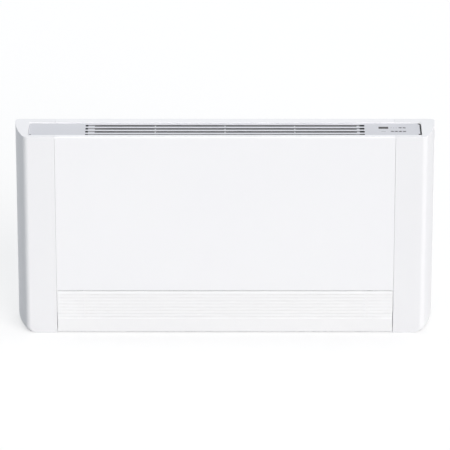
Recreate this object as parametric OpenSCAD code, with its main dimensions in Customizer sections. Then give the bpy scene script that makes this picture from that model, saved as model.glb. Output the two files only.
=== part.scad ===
// Slim wall-hung fan coil unit with a cross-flow fan.
// Air enters through the louvred grille at the foot, crosses the filter and the sloping coil,
// and leaves upwards through the slotted outlet grille. Front faces -Y, wall side is +Y.

/* [Body] */
// Width over the side covers at the wall
body_w = 1137; // [1100:1:1200]
// Height from the floor line to the rim
body_h = 579; // [570:1:620]
// Depth from the front plane to the wall plane
body_d = 131; // [131:1:150]

/* [Side covers] */
// Wall of the moulded side covers
cover_wall = 2.5; // [1.5:0.1:3]
// Plan radius of the bulging side
cover_bulge_r = 277; // [250:1:320]
// Plan radius of the rear corner at the wall
cover_rear_r = 12; // [8:1:16]
// Plan radius of the front vertical corner
cover_corner_r = 18; // [12:1:24]
// Radius of the lower outer corner seen from the front
cover_foot_r = 20; // [12:1:26]
// Depth of the flange beside the front panel seam
cover_flange_d = 22; // [18:1:26]
// Width of a side cover from its seam to its widest point
cover_span = 109.5; // [100:0.5:116]
// Free seam between painted panels
seam_gap = 0.4; // [0.3:0.1:1.5]

/* [Sheet metal] */
// Gauge of the folded steel sheet
sheet_t = 1.2; // [0.8:0.1:1.5]
// Outside bend radius along the top of the front panel
panel_bend_r = 4; // [2.5:0.5:6]
// Depth of the front panel's top rim
rim_d = 16; // [15.5:0.1:17]
// Depth of the painted rim behind the outlet grille
rear_rim_d = 26; // [26:0.5:32]

/* [Intake grille] */
// Height of the tilting intake grille
grille_h = 125; // [118:1:132]
// Skin thickness of the intake grille
grille_t = 2.5; // [2:0.1:3]
// Number of louvre slats
slat_count = 9; // [6:1:9]
// Vertical pitch of the slats
slat_pitch = 9.3; // [8.6:0.1:9.4]
// Slat thickness
slat_t = 1.6; // [1.2:0.1:2]
// Radius of the two hinge pins
hinge_pin_r = 2.5; // [2:0.1:3]

/* [Outlet grille] */
// Set-in of the outlet grille's ends from the widest points of the covers
tray_inset = 39.5; // [38:0.5:46]
// Depth of its face below the rim
tray_recess = 3; // [2:0.1:5]
// Thickness of its face
tray_t = 2.5; // [2:0.1:3]
// Set-in of the slot ends from the widest points of the covers
slot_inset = 191.5; // [185:0.5:210]
// Width of one air slot
slot_w = 11; // [9:0.1:12]

/* [Air vanes] */
// Hanging length of a vane below its pivot
vane_chord = 22; // [16:0.5:24]
// Radius of the vane pivots
vane_pin_r = 2; // [1.5:0.1:2.2]
// Lean of the vanes at rest, lower edge towards the wall
vane_lean = 12; // [0:1:15]
// Crank radius that the link bar works on
crank_r = 9; // [8:0.5:11]

/* [Fan] */
// Depth of the unit that the rotor leaves free
fan_room = 43; // [42:0.5:48]
// Radial depth of the blades
blade_d = 9.5; // [8:0.1:11]
// Number of blades
blade_count = 30; // [20:1:34]
// Gap between the rotor and the end of the slots
fan_end_gap = 5; // [3:0.5:8]
// Number of rotor segments between support rings
fan_segments = 8; // [4:1:10]
// Radius of the fan shaft
shaft_r = 4; // [3:0.1:5]
// Radius of the motor body
motor_r = 36; // [30:0.5:37]

/* [Coil] */
// Tubes in each of the two rows
tube_rows = 8; // [5:1:8]
// Spacing of tubes along a row
tube_pitch = 25; // [22:0.5:25]
// Spacing of the two rows
row_pitch = 22; // [20:0.5:24]
// Outside radius of a tube
tube_r = 4.8; // [4:0.1:5]
// Spacing of the modelled fins
fin_pitch = 12; // [8:0.5:20]
// Fin thickness
fin_t = 0.8; // [0.5:0.1:1]
// Lean of the coil, upper edge towards the front
coil_lean = 14; // [10:1:15]
// Outside radius of the G 3/4 water connections
water_r = 13.2; // [10:0.1:14]
// Outside radius of the condensate spigot
drain_r = 8; // [6:0.1:9]

/* [Controls] */
// Key cap length across the unit
key_w = 9; // [7:0.1:9.5]
// Key cap width front to back
key_d = 7; // [6:0.1:9]
// Travel of a key
key_travel = 0.8; // [0.4:0.1:1]

/* [Fits] */
// Radial clearance of turning pins
pin_play = 0.05; // [0.02:0.01:0.1]
// Clearance of sliding and dropped-in pieces
slide_play = 0.3; // [0.2:0.05:0.4]
// Radius of the assembly screws
screw_r = 1.75; // [1.5:0.05:2]

/* [Hidden] */
$fn = 96;

paint = [0.95, 0.95, 0.96];
trim_grey = [0.83, 0.835, 0.855];
zinc = [0.72, 0.74, 0.76];
black_abs = [0.13, 0.13, 0.14];

hair = 0.01;
skin = 1;
front_panel_w = body_w - 2 * cover_span;
tray_w = body_w - 2 * tray_inset;
slot_l = body_w - 2 * slot_inset;
fan_r = (body_d - fan_room) / 2;
fan_l = slot_l - 2 * fan_end_gap;
seam_x = front_panel_w / 2 + seam_gap;
panel_z = grille_h + seam_gap;
wall_y = body_d / 2;
back_t = 1;

// Axis of the fan and middle of the coil, as depth from the front plane and height
slot_front_d = rim_d + 2.5;
tongue_gap = 3.5;
fan_d = slot_front_d + fan_r + tongue_gap;
fan_drop = 129;
fan_z = body_h - fan_drop;
coil_set_back = 3;
coil_d = body_d / 2 + coil_set_back;
coil_drop = 175;
coil_z = fan_z - coil_drop;

// Depth measured back from the front plane
function fy(d) = d - body_d / 2;

// Extrudes a profile drawn as (depth, height) along X, centred on the unit
module along_x(length, start = undef) {
  x0 = is_undef(start) ? -length / 2 : start;
  translate([x0, 0, 0]) rotate([90, 0, 90]) linear_extrude(length) translate([-wall_y, 0]) children();
}

// Round bar along X with its centre at (depth, height)
module bar_x(r, x0, x1, d, z) {
  translate([min(x0, x1), fy(d), z]) rotate([0, 90, 0]) cylinder(r = r, h = abs(x1 - x0));
}

// Box given by its limits, with Y as depth from the front plane
module slab(x0, x1, d0, d1, z0, z1) {
  translate([min(x0, x1), fy(d0), z0]) cube([abs(x1 - x0), d1 - d0, z1 - z0]);
}

// Quarter of a sheet bend in the (depth, height) plane; sx and sy choose the quadrant
module sheet_bend(d, z, r, t, sx, sy) {
  translate([d, z]) intersection() {
    difference() {
      circle(r);
      circle(r - t);
    }
    translate([sx > 0 ? 0 : -r, sy > 0 ? 0 : -r]) square(r);
  }
}

// Side covers
bulge_x = body_w / 2 - cover_bulge_r;
corner_y = fy(cover_corner_r);
bulge_y = wall_y - cover_rear_r;
corner_x = bulge_x + sqrt(pow(cover_bulge_r - cover_corner_r, 2) - pow(bulge_y - corner_y, 2));
tangent_a = atan2(corner_y - bulge_y, corner_x - bulge_x);
rear_x = body_w / 2 - cover_rear_r;
corner_steps = 10;
bulge_steps = 8;
rear_steps = 6;

// Plan curve of the side, from the front plane round both corners to the wall
function side_curve(inset) = concat(
  [for (k = [0:corner_steps]) let (a = -90 + (tangent_a + 90) * k / corner_steps)
    [corner_x + (cover_corner_r - inset) * cos(a), corner_y + (cover_corner_r - inset) * sin(a)]],
  [for (k = [1:bulge_steps]) let (a = tangent_a * (1 - k / bulge_steps))
    [bulge_x + (cover_bulge_r - inset) * cos(a), bulge_y + (cover_bulge_r - inset) * sin(a)]],
  [for (k = [1:rear_steps]) let (a = 90 * k / rear_steps)
    [rear_x + (cover_rear_r - inset) * cos(a), bulge_y + (cover_rear_r - inset) * sin(a)]]);

// Upright slice across the cover, with its lower outer corner rounded
module cover_slice(x0, x1, inset) {
  r = cover_foot_r - inset;
  rotate([90, 0, 0]) linear_extrude(hair) {
    translate([x0, inset]) square([x1 - r - x0, body_h - 2 * inset]);
    translate([x0, inset + r]) square([x1 - x0, body_h - 2 * inset - r]);
    translate([x1 - r, inset + r]) circle(r, $fn = 40);
  }
}

module cover_solid(x0, inset, past = 0) {
  curve = side_curve(inset);
  last = len(curve) - 1;
  hull()
    for (k = [0:last])
      translate([0, curve[k].y + (k == 0 ? hair : 0), 0]) cover_slice(x0, curve[k].x, inset);
  if (past > 0)
    hull()
      for (y = [curve[last].y, wall_y + past])
        translate([0, y, 0]) cover_slice(x0, curve[last].x, inset);
}

tray_top = body_h - tray_recess;
tray_under = tray_top - tray_t;
tray_front_d = rim_d + 0.4;
tray_rear_d = body_d - rear_rim_d - 0.4;
tray_end_gap = 1.5;
tray_cut_x = tray_w / 2 + tray_end_gap;
ledge_w = 6;
control_end_gap = 4;
pipe_cut_w = 50;
pipe_cut_d = 90;
arm_z = [grille_h + 25, body_h - 79];
arm_flange = 20;
arm_front_d = 9;
arm_rear_d = 50;
screw_d = 16;

module side_cover() {
  past = 5;
  color(paint) difference() {
    union() {
      difference() {
        cover_solid(seam_x, 0);
        cover_solid(seam_x + cover_wall, cover_wall, past);
        slab(seam_x - skin, seam_x + cover_wall + hair, cover_flange_d, body_d + past,
             cover_wall, body_h - cover_wall);
        slab(seam_x - skin, tray_cut_x, rim_d, body_d - rear_rim_d, tray_under, body_h + skin);
        slab(corner_x - pipe_cut_w, corner_x, body_d - pipe_cut_d, body_d + past, -skin, cover_wall + skin);
      }
      slab(tray_cut_x, tray_cut_x + cover_wall, rim_d, body_d - rear_rim_d,
           tray_under - cover_wall, body_h - cover_wall + hair);
      slab(tray_w / 2 - ledge_w, tray_cut_x + hair, rim_d, body_d - rear_rim_d,
           tray_under - cover_wall, tray_under);
    }
    for (z = arm_z) bar_x(screw_r + 0.1, seam_x - skin, seam_x + cover_wall + skin, screw_d, z - arm_flange / 2);
  }
}

module right_side_cover() { side_cover(); }
module left_side_cover() { color(paint) mirror([1, 0, 0]) side_cover(); }

// Front panel, folded from one sheet and hung on the cover arms by four hooks
panel_foot_r = 2;
panel_foot_d = 6.5;
rim_flange = 14;
side_return_d = 8;
hook_w = 20;
hook_edge = 30;
hook_x = front_panel_w / 2 - hook_edge;
hook_d = 26;

module front_panel() {
  color(paint) {
    along_x(front_panel_w) {
      translate([0, panel_z + panel_foot_r]) square([sheet_t, body_h - panel_bend_r - panel_z - panel_foot_r]);
      sheet_bend(panel_bend_r, body_h - panel_bend_r, panel_bend_r, sheet_t, -1, 1);
      translate([panel_bend_r, body_h - sheet_t]) square([rim_d - panel_bend_r, sheet_t]);
      translate([rim_d - sheet_t, body_h - rim_flange]) square([sheet_t, rim_flange]);
      sheet_bend(panel_foot_r, panel_z + panel_foot_r, panel_foot_r, sheet_t, -1, -1);
      translate([panel_foot_r, panel_z]) square([panel_foot_d - panel_foot_r, sheet_t]);
    }
    for (side = [-1, 1]) {
      slab(side * front_panel_w / 2, side * (front_panel_w / 2 - sheet_t), sheet_t - hair, side_return_d,
           panel_z + 2 * panel_foot_r, body_h - rim_flange);
      for (z = arm_z)
        slab(side * hook_x, side * (hook_x - hook_w), sheet_t - hair, hook_d, z + sheet_t, z + 2 * sheet_t);
    }
  }
}

// Painted rail that closes the top along the wall
rail_flange = 19;
rail_lip = 4;
rail_back_flange = 34;

module rear_top_rail() {
  front = body_d - rear_rim_d;
  back = body_d - 1;
  color(paint) along_x(2 * seam_x - seam_gap) {
    translate([front, body_h - sheet_t]) square([rear_rim_d, sheet_t]);
    translate([front, body_h - rail_flange]) square([sheet_t, rail_flange]);
    translate([front - rail_lip, tray_under - sheet_t]) square([rail_lip + hair, sheet_t]);
    translate([back - sheet_t, body_h - rail_back_flange]) square([sheet_t, rail_back_flange]);
  }
}

// Galvanised back panel with wall fixing holes and pressed beads
back_foot_z = 6;
back_edge = 18;
bead_r = 4;
bead_z = [60, coil_z - 60, coil_z + 70];
bead_edge = 119;
bead_half = front_panel_w / 2 - bead_edge;
wall_hole_r = 4.5;
wall_hole_edge = 29;
wall_hole_x = front_panel_w / 2 - wall_hole_edge;
wall_hole_z = [120, body_h - 59];

module back_panel() {
  inner = body_d - back_t;
  color(zinc) difference() {
    union() {
      slab(-front_panel_w / 2, front_panel_w / 2, inner, body_d, back_foot_z, body_h - sheet_t);
      for (side = [-1, 1])
        slab(side * front_panel_w / 2, side * (front_panel_w / 2 - back_t), inner - back_edge, inner + hair,
             back_foot_z, body_h - rail_back_flange - 2);
      slab(-shoulder_x + seam_gap, shoulder_x - seam_gap, inner - back_edge, inner + hair,
           back_foot_z, back_foot_z + back_t);
      for (z = bead_z) intersection() {
        bar_x(bead_r, -bead_half, bead_half, inner, z);
        slab(-bead_half, bead_half, inner - bead_r, inner + hair, z - bead_r, z + bead_r);
      }
    }
    for (z = bead_z) bar_x(bead_r - back_t, -bead_half + back_t, bead_half - back_t, inner, z);
    for (x = [-wall_hole_x, wall_hole_x], z = wall_hole_z)
      translate([x, fy(inner - skin), z]) rotate([-90, 0, 0]) cylinder(r = wall_hole_r, h = back_t + 2 * skin);
    for (p = frame_screw_places)
      translate([p.x, fy(inner - skin), p.y]) rotate([-90, 0, 0]) cylinder(r = screw_r + 0.1, h = back_t + 2 * skin);
  }
}

// Shoulders: the two plates that carry the coil, the fan and the outlet grille
shoulder_gap = 11;
shoulder_x = slot_l / 2 + shoulder_gap;
shoulder_toe_d = 22;
shoulder_toe_h = 30;
shoulder_front_d = 10;
shoulder_flange = 15;
shoulder_foot_z = 4;
grommet_r = 14;
mount_circle = 37;
mount_r = 6;
coil_t = 2 * row_pitch;
coil_h = tube_rows * tube_pitch;
coil_window = 4;
foot_screw_z = 40;
frame_screw_places = [for (x = [-1, 1], z = [foot_screw_z, coil_z - 25, fan_z - 20])
  [x * (shoulder_x + sheet_t + shoulder_flange / 2), z]];

// Places children on the sloping coil: local X is through its thickness, local Y up its height
module on_coil() {
  translate([coil_d, coil_z]) rotate(coil_lean) children();
}

module shoulder_outline() {
  rail_d = body_d - rear_rim_d - 0.2;
  back = body_d - back_t;
  polygon([
    [shoulder_toe_d, shoulder_foot_z], [back, shoulder_foot_z], [back, body_h - rail_back_flange - 1],
    [back - sheet_t - 0.3, body_h - rail_back_flange - 1], [back - sheet_t - 0.3, body_h - rail_flange - 1],
    [rail_d, body_h - rail_flange - 1], [rail_d, tray_under - sheet_t - 0.3],
    [rail_d - rail_lip - 0.3, tray_under - sheet_t - 0.3], [rail_d - rail_lip - 0.3, tray_under],
    [rim_d + 2, tray_under], [rim_d + 2, body_h - rail_flange], [shoulder_front_d, body_h - rail_flange],
    [shoulder_front_d, shoulder_toe_h], [shoulder_toe_d, shoulder_toe_h]
  ]);
}

module shoulder(fan_hole_r) {
  back = body_d - back_t;
  flange_x = shoulder_x + shoulder_flange;
  color(zinc) difference() {
    union() {
      along_x(sheet_t, shoulder_x) difference() {
        shoulder_outline();
        translate([fan_d, fan_z]) circle(fan_hole_r);
        on_coil() square([coil_t - 2 * coil_window, coil_h - 2 * coil_window], center = true);
      }
      slab(shoulder_x, flange_x, back - sheet_t, back, shoulder_foot_z, body_h - rail_back_flange - 1);
      slab(shoulder_x, flange_x, rim_d + 4, body_d - rear_rim_d - rail_lip - 0.5, tray_under - sheet_t, tray_under);
    }
    for (p = frame_screw_places) if (p.x > 0)
      translate([p.x, fy(back - sheet_t - skin), p.y]) rotate([-90, 0, 0])
        cylinder(r = screw_r + 0.1, h = sheet_t + 2 * skin);
    children();
  }
}

module right_shoulder() {
  shoulder(20) for (a = motor_angles)
    bar_x(screw_r + 0.1, shoulder_x - skin, shoulder_x + sheet_t + skin,
          fan_d + mount_circle * cos(a), fan_z + mount_circle * sin(a));
}

module left_shoulder() {
  color(zinc) mirror([1, 0, 0]) shoulder(grommet_r)
    bar_x(drain_r + 1.5, shoulder_x - skin, shoulder_x + sheet_t + skin, drain_d, drain_z);
}

// Base rail between the shoulders, with the lugs that carry the intake grille
base_front_d = 24;
base_rear_d = 60;
base_h = 20;
hinge_d = 8;
hinge_z = 12.5;
knuckle_r = 5;
knuckle_w = 15;
lug_t = 2;
lug_play = 0.5;
hinge_set_in = 48;
hinge_x = shoulder_x - hinge_set_in;

module base_rail() {
  color(zinc) difference() {
    union() {
      along_x(2 * shoulder_x) {
        translate([base_front_d, shoulder_foot_z]) square([base_rear_d - base_front_d, sheet_t]);
        translate([base_front_d, shoulder_foot_z]) square([sheet_t, base_h]);
        translate([base_rear_d - sheet_t, shoulder_foot_z]) square([sheet_t, base_h]);
      }
      for (side = [-1, 1], end = [-1, 1]) {
        x = side * hinge_x + end * (knuckle_w / 2 + lug_play + lug_t / 2);
        bar_x(knuckle_r, x - lug_t / 2, x + lug_t / 2, hinge_d, hinge_z);
        slab(x - lug_t / 2, x + lug_t / 2, hinge_d, base_front_d + hair, hinge_z - knuckle_r, hinge_z + knuckle_r);
      }
    }
    for (side = [-1, 1])
      bar_x(hinge_pin_r, side * hinge_x - knuckle_w, side * hinge_x + knuckle_w, hinge_d, hinge_z);
  }
}

module hinge_pins() {
  half = knuckle_w / 2 + lug_play + lug_t + 1;
  color("silver") for (side = [-1, 1])
    bar_x(hinge_pin_r, side * hinge_x - half, side * hinge_x + half, hinge_d, hinge_z);
}

// Folded arms that carry the side covers and the front panel from the shoulders
module cover_arms() {
  x0 = shoulder_x + sheet_t;
  color(zinc) for (z = arm_z) difference() {
    union() {
      slab(x0, seam_x, arm_front_d, arm_rear_d, z, z + sheet_t);
      slab(x0, x0 + sheet_t, arm_front_d + 3, arm_rear_d, z - arm_flange, z + hair);
      slab(seam_x - sheet_t, seam_x, arm_front_d, arm_rear_d, z - arm_flange, z + hair);
    }
    bar_x(screw_r + 0.1, seam_x - sheet_t - skin, seam_x + skin, screw_d, z - arm_flange / 2);
  }
}

module right_cover_arms() { cover_arms(); }
module left_cover_arms() { color(zinc) mirror([1, 0, 0]) cover_arms(); }

// Outlet grille: slotted face, collar below the slots, and the control area at its right end
slot_count = 4;
slot_border = 12.7;
slots_d = tray_rear_d - tray_front_d - slot_border;
land_w = (slots_d - slot_count * slot_w) / (slot_count - 1);
slot_pitch = slot_w + land_w;
collar_t = 2;
collar_end_t = 3;
collar_z = body_h - 34;
collar_x = slot_l / 2 + collar_end_t;
vane_z = tray_under - 5;
rib_x = [-slot_l / 4, 0, slot_l / 4];
rib_t = 3;
rib_h = 9;
key_row_gap = 13;
board_mid_d = (tray_front_d + tray_rear_d) / 2;
key_rows = [board_mid_d - key_row_gap, board_mid_d + key_row_gap];
board_set_out = 67;
board_x = shoulder_x + board_set_out;
board_w = 104;
board_d = 54;
board_t = 1.6;
board_z = tray_under - 10;
boss_r = 3;
key_gap = 0.25;
window_w = 22;
window_d = 9;
window_t = 1.5;
window_set_in = 27;
window_x = board_x - window_set_in;
key_pitch = 11;
key_x0 = board_x - 3.5;
board_screw_l = 6.6;
// Key places: across the unit and depth from the front plane
key_places = [[key_x0, key_rows[0]], [key_x0 + key_pitch, key_rows[0]], [key_x0 + 2 * key_pitch, key_rows[0]],
              [key_x0 + 3 * key_pitch, key_rows[0]], [key_x0 + 2 * key_pitch, key_rows[1]],
              [key_x0 + 3 * key_pitch, key_rows[1]]];
board_corners = [for (x = [-1, 1], y = [-1, 1])
  [board_x + x * (board_w / 2 - 5), board_mid_d + y * (board_d / 2 - 5)]];

function vane_d(i) = slot_front_d + slot_w + land_w / 2 + i * slot_pitch;

module outlet_grille() {
  rear = slot_front_d + slots_d;
  color(trim_grey) difference() {
    union() {
      slab(-tray_w / 2, tray_cut_x - control_end_gap, tray_front_d, tray_rear_d, tray_under, tray_top);
      difference() {
        slab(-collar_x, collar_x, slot_front_d - collar_t, rear + collar_t, collar_z, tray_under + hair);
        slab(-slot_l / 2, slot_l / 2, slot_front_d, rear, collar_z - skin, tray_under + 2 * hair);
      }
      for (x = rib_x)
        slab(x - rib_t / 2, x + rib_t / 2, slot_front_d - hair, rear + hair, tray_under - rib_h, tray_under + hair);
      for (p = board_corners)
        translate([p.x, fy(p.y), board_z]) cylinder(r = boss_r, h = tray_under - board_z + hair);
    }
    for (k = [0:slot_count - 1])
      slab(-slot_l / 2, slot_l / 2, slot_front_d + k * slot_pitch, slot_front_d + k * slot_pitch + slot_w,
           tray_under, tray_top + skin);
    for (i = [0:slot_count - 2])
      bar_x(vane_pin_r + pin_play, -collar_x - skin, collar_x + skin, vane_d(i), vane_z);
    for (p = key_places)
      slab(p.x - key_w / 2 - key_gap, p.x + key_w / 2 + key_gap, p.y - key_d / 2 - key_gap,
           p.y + key_d / 2 + key_gap, tray_under - skin, tray_top + skin);
    slab(window_x - window_w / 2, window_x + window_w / 2, key_rows[1] - window_d / 2,
         key_rows[1] + window_d / 2, tray_top - window_t, tray_top + skin);
    for (p = board_corners)
      translate([p.x, fy(p.y), board_z - skin]) cylinder(r = screw_r, h = board_screw_l + skin);
  }
}

module display_window() {
  color("black") slab(window_x - window_w / 2, window_x + window_w / 2, key_rows[1] - window_d / 2,
                      key_rows[1] + window_d / 2, tray_top - window_t, tray_top);
}

// Air vanes hang under the grille bars on end pins; a link bar joins their cranks
vane_end_gap = 10;
vane_root_r = 2.6;
vane_tip_r = 0.8;
rib_notch = 1;
notch_drop = 7.5;
crank_t = 2.5;
crank_pin_r = 1.5;
crank_x = collar_x + 1;
link_t = 2.5;
link_x = crank_x + crank_t + 0.5;
link_half_h = 3.5;

module vane(i) {
  half = slot_l / 2 - vane_end_gap;
  color(black_abs) translate([0, fy(vane_d(i)), vane_z]) rotate([vane_lean, 0, 0]) {
    difference() {
      translate([-half, 0, 0]) rotate([90, 0, 90]) linear_extrude(2 * half) {
        circle(vane_root_r);
        polygon([[-vane_root_r, 0], [vane_root_r, 0], [vane_tip_r, -vane_chord], [-vane_tip_r, -vane_chord]]);
        translate([0, -vane_chord]) circle(vane_tip_r);
      }
      for (x = rib_x)
        translate([x - rib_t / 2 - rib_notch, -vane_chord / 2, -notch_drop])
          cube([rib_t + 2 * rib_notch, vane_chord, 2 * notch_drop]);
    }
    for (x = rib_x) translate([x - rib_t, 0, 0]) rotate([0, 90, 0])
      cylinder(r = vane_pin_r, h = 2 * rib_t);
    translate([-collar_x, 0, 0]) rotate([0, 90, 0]) cylinder(r = vane_pin_r, h = vane_end_gap + collar_end_t + hair);
    translate([half - hair, 0, 0]) rotate([0, 90, 0])
      cylinder(r = vane_pin_r, h = crank_x + crank_t - half);
    translate([crank_x, 0, 0]) rotate([90, 0, 90]) linear_extrude(crank_t) {
      circle(vane_pin_r + 1.5);
      translate([0, -crank_r]) circle(crank_pin_r + 1.5);
      translate([-crank_pin_r - 1, -crank_r]) square([2 * crank_pin_r + 2, crank_r]);
    }
    translate([crank_x + crank_t - hair, 0, -crank_r]) rotate([0, 90, 0])
      cylinder(r = crank_pin_r, h = link_t + 1);
  }
}

module air_vane_1() { vane(0); }
module air_vane_2() { vane(1); }
module air_vane_3() { vane(2); }

module vane_link() {
  drop_y = crank_r * sin(vane_lean);
  z = vane_z - crank_r * cos(vane_lean);
  color(black_abs) difference() {
    union() {
      slab(link_x, link_x + link_t, vane_d(0) + drop_y, vane_d(2) + drop_y, z - link_half_h, z + link_half_h);
      for (i = [0, 2]) bar_x(link_half_h, link_x, link_x + link_t, vane_d(i) + drop_y, z);
    }
    for (i = [0:2]) bar_x(crank_pin_r + pin_play, link_x - skin, link_x + link_t + skin, vane_d(i) + drop_y, z);
  }
}

// Intake grille: plain skirt, sloping slats on upright ribs, filter rails and hinge knuckles
grille_foot_z = 1.5;
grille_foot_r = 4;
grille_w = front_panel_w - 3;
slat_lean = 4.6;
slat_rise = slat_pitch - 1.3;
slats_z = grille_h - slat_count * slat_pitch;
rib_back_d = 7.5;
rib_spacing = grille_w / 10;
rib_half_count = 4;
rail_x = shoulder_x - 3;
rail_t = 1.7;
rail_overlap = 6;
filter_d = 9;
filter_t = 4;
filter_foot_z = 21.5;
filter_h = 95;
rail_back_d = filter_d + filter_t + slide_play;
post_x = shoulder_x + 8;
post_w = 8;
post_z = 105;
magnet_front_d = 18;

module grille_skin() {
  translate([0, grille_foot_z + grille_foot_r]) square([grille_t, slats_z - grille_foot_z - grille_foot_r]);
  sheet_bend(grille_foot_r, grille_foot_z + grille_foot_r, grille_foot_r, grille_t, -1, -1);
  for (k = [0:slat_count - 1]) translate([0, slats_z + k * slat_pitch])
    polygon([[0.2, 0.9], [0.2, 0], [0.2 + slat_t, 0], [slat_lean + slat_t, slat_rise], [slat_lean, slat_rise]]);
}

module intake_grille() {
  color(paint) difference() {
    union() {
      along_x(grille_w) grille_skin();
      for (x = [for (k = [-rib_half_count:rib_half_count]) k * rib_spacing, -grille_w / 2 + 6, grille_w / 2 - 6]) {
        slab(x - 1, x + 1, slat_lean, rib_back_d, slats_z - 4, grille_h - 4);
        slab(x - 1, x + 1, grille_t - hair, rib_back_d, slats_z - 4, slats_z - 1);
      }
      for (side = [-1, 1]) {
        slab(side * rail_x, side * (rail_x - rail_t), grille_t - hair, rail_back_d + rail_t, filter_foot_z - rail_t,
             filter_foot_z + filter_h);
        slab(side * rail_x, side * (rail_x - rail_t - rail_overlap), rail_back_d, rail_back_d + rail_t,
             filter_foot_z - rail_t, filter_foot_z + filter_h);
        slab(side * rail_x, side * (rail_x - rail_t - rail_overlap), grille_t - hair, rail_back_d + rail_t,
             filter_foot_z - rail_t, filter_foot_z);
        slab(side * post_x, side * (post_x + post_w), slat_lean - 1, magnet_front_d - slide_play, post_z, post_z + post_w);
        bar_x(knuckle_r, side * hinge_x - knuckle_w / 2, side * hinge_x + knuckle_w / 2, hinge_d, hinge_z);
        slab(side * hinge_x - knuckle_w / 2, side * hinge_x + knuckle_w / 2, grille_t - hair, hinge_d,
             hinge_z - 3.5, hinge_z + 3.5);
      }
    }
    for (side = [-1, 1])
      bar_x(hinge_pin_r + pin_play, side * hinge_x - knuckle_w, side * hinge_x + knuckle_w, hinge_d, hinge_z);
  }
}

module grille_magnets() {
  color("dimgray") for (side = [-1, 1])
    slab(side * (shoulder_x + sheet_t), side * (post_x + post_w), magnet_front_d, magnet_front_d + 10,
         post_z - 2, post_z + post_w + 2);
}

// Filter cell that slides in the rails of the intake grille
filter_half = rail_x - rail_t - slide_play;
filter_rim = 8;
filter_bars = 5;
mesh_t = 0.8;

module filter_frame() {
  bay = (2 * filter_half - filter_rim) / (filter_bars + 1);
  z0 = filter_foot_z;
  mid = filter_d + filter_t / 2;
  color("dimgray") difference() {
    slab(-filter_half, filter_half, filter_d, filter_d + filter_t, z0, z0 + filter_h);
    for (k = [0:filter_bars])
      slab(-filter_half + filter_rim + k * bay, -filter_half + (k + 1) * bay, filter_d - skin,
           filter_d + filter_t + skin, z0 + filter_rim, z0 + filter_h - filter_rim);
    slab(-filter_half + filter_rim / 2, filter_half - filter_rim / 2, mid - mesh_t / 2, mid + mesh_t / 2,
         z0 + filter_rim / 2, z0 + filter_h - filter_rim / 2);
  }
}

module filter_mesh() {
  mid = filter_d + filter_t / 2;
  color("darkslategray")
    slab(-filter_half + filter_rim / 2, filter_half - filter_rim / 2, mid - mesh_t / 2, mid + mesh_t / 2,
         filter_foot_z + filter_rim / 2, filter_foot_z + filter_h - filter_rim / 2);
}

// Air path round the fan: spiral rear wall and front baffle with its tongue
scroll_t = 2;
scroll_back_gap = 4;
scroll_d = fan_d - 6;
scroll_z = fan_z + 10;
scroll_r = body_d - back_t - scroll_d - scroll_t - scroll_back_gap;
scroll_foot_a = -50;
throat_d = slot_front_d + slots_d;
scroll_top_a = acos((throat_d + scroll_t / 2 - scroll_d) / scroll_r);
tongue_z = fan_z - 12;
tongue_r = 5;
apron_drop = 30;

module rear_scroll() {
  reach = 2 * scroll_r;
  color(black_abs) along_x(2 * shoulder_x) {
    translate([scroll_d, scroll_z]) intersection() {
      difference() {
        circle(scroll_r + scroll_t);
        circle(scroll_r);
      }
      polygon([[0, 0], reach * [cos(scroll_foot_a), sin(scroll_foot_a)], [reach, 0],
               reach * [cos(scroll_top_a), sin(scroll_top_a)]]);
    }
    translate([throat_d, scroll_z + scroll_r * sin(scroll_top_a) - scroll_t / 2])
      square([scroll_t, collar_z - scroll_z - scroll_r * sin(scroll_top_a) + scroll_t / 2]);
  }
}

module front_baffle() {
  d = slot_front_d - collar_t;
  color(black_abs) along_x(2 * shoulder_x) {
    translate([d, tongue_z]) square([collar_t, collar_z - tongue_z]);
    sheet_bend(slot_front_d - tongue_r, tongue_z, tongue_r, collar_t, 1, -1);
    translate([sheet_t + 4, tongue_z - tongue_r]) square([slot_front_d - tongue_r - sheet_t - 4, collar_t]);
    translate([sheet_t + 4, tongue_z - tongue_r - apron_drop]) square([collar_t, apron_drop + collar_t]);
  }
}

// Cross-flow rotor: curved blades between full end discs and open support rings
disc_t = 2;
hub_r = 9;
hub_l = 12;
blade_arc_r = 9;
blade_t = 1.1;
hub_bore_l = 14;

module blade_profile() {
  mid = fan_r - 0.6 - blade_d / 2;
  intersection() {
    translate([mid, -blade_arc_r * 0.72]) difference() {
      circle(blade_arc_r);
      circle(blade_arc_r - blade_t);
    }
    difference() {
      circle(fan_r - 0.5);
      circle(fan_r - 0.5 - blade_d);
    }
    translate([mid - blade_d, -blade_arc_r * 0.72]) square([2 * blade_d, 2 * blade_arc_r]);
  }
}

module fan_rotor() {
  step = (fan_l - disc_t) / fan_segments;
  color(black_abs) translate([0, fy(fan_d), fan_z]) rotate([90, 0, 90]) difference() {
    union() {
      translate([0, 0, -fan_l / 2]) linear_extrude(fan_l)
        for (k = [0:blade_count - 1]) rotate(360 * k / blade_count) blade_profile();
      for (k = [0:fan_segments]) translate([0, 0, -fan_l / 2 + k * step]) difference() {
        cylinder(r = fan_r, h = disc_t);
        if (k > 0 && k < fan_segments) translate([0, 0, -skin]) cylinder(r = fan_r - blade_d - 3, h = disc_t + 2 * skin);
      }
      for (end = [-1, 1]) translate([0, 0, end * (fan_l / 2 - hub_l / 2)]) cylinder(r = hub_r, h = hub_l, center = true);
    }
    for (end = [-1, 1]) translate([0, 0, end * (fan_l / 2 - hub_l / 2)])
      cylinder(r = shaft_r, h = hub_l + 2 * skin, center = true);
  }
}

bush_r = 8;
bush_l = 12;
grommet_flange_r = 18;
grommet_flange_t = 3;

module fan_stub_shaft() {
  color("silver") bar_x(shaft_r, -shoulder_x - sheet_t / 2 - bush_l / 2 - 2, -fan_l / 2 + hub_l, fan_d, fan_z);
}

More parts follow.
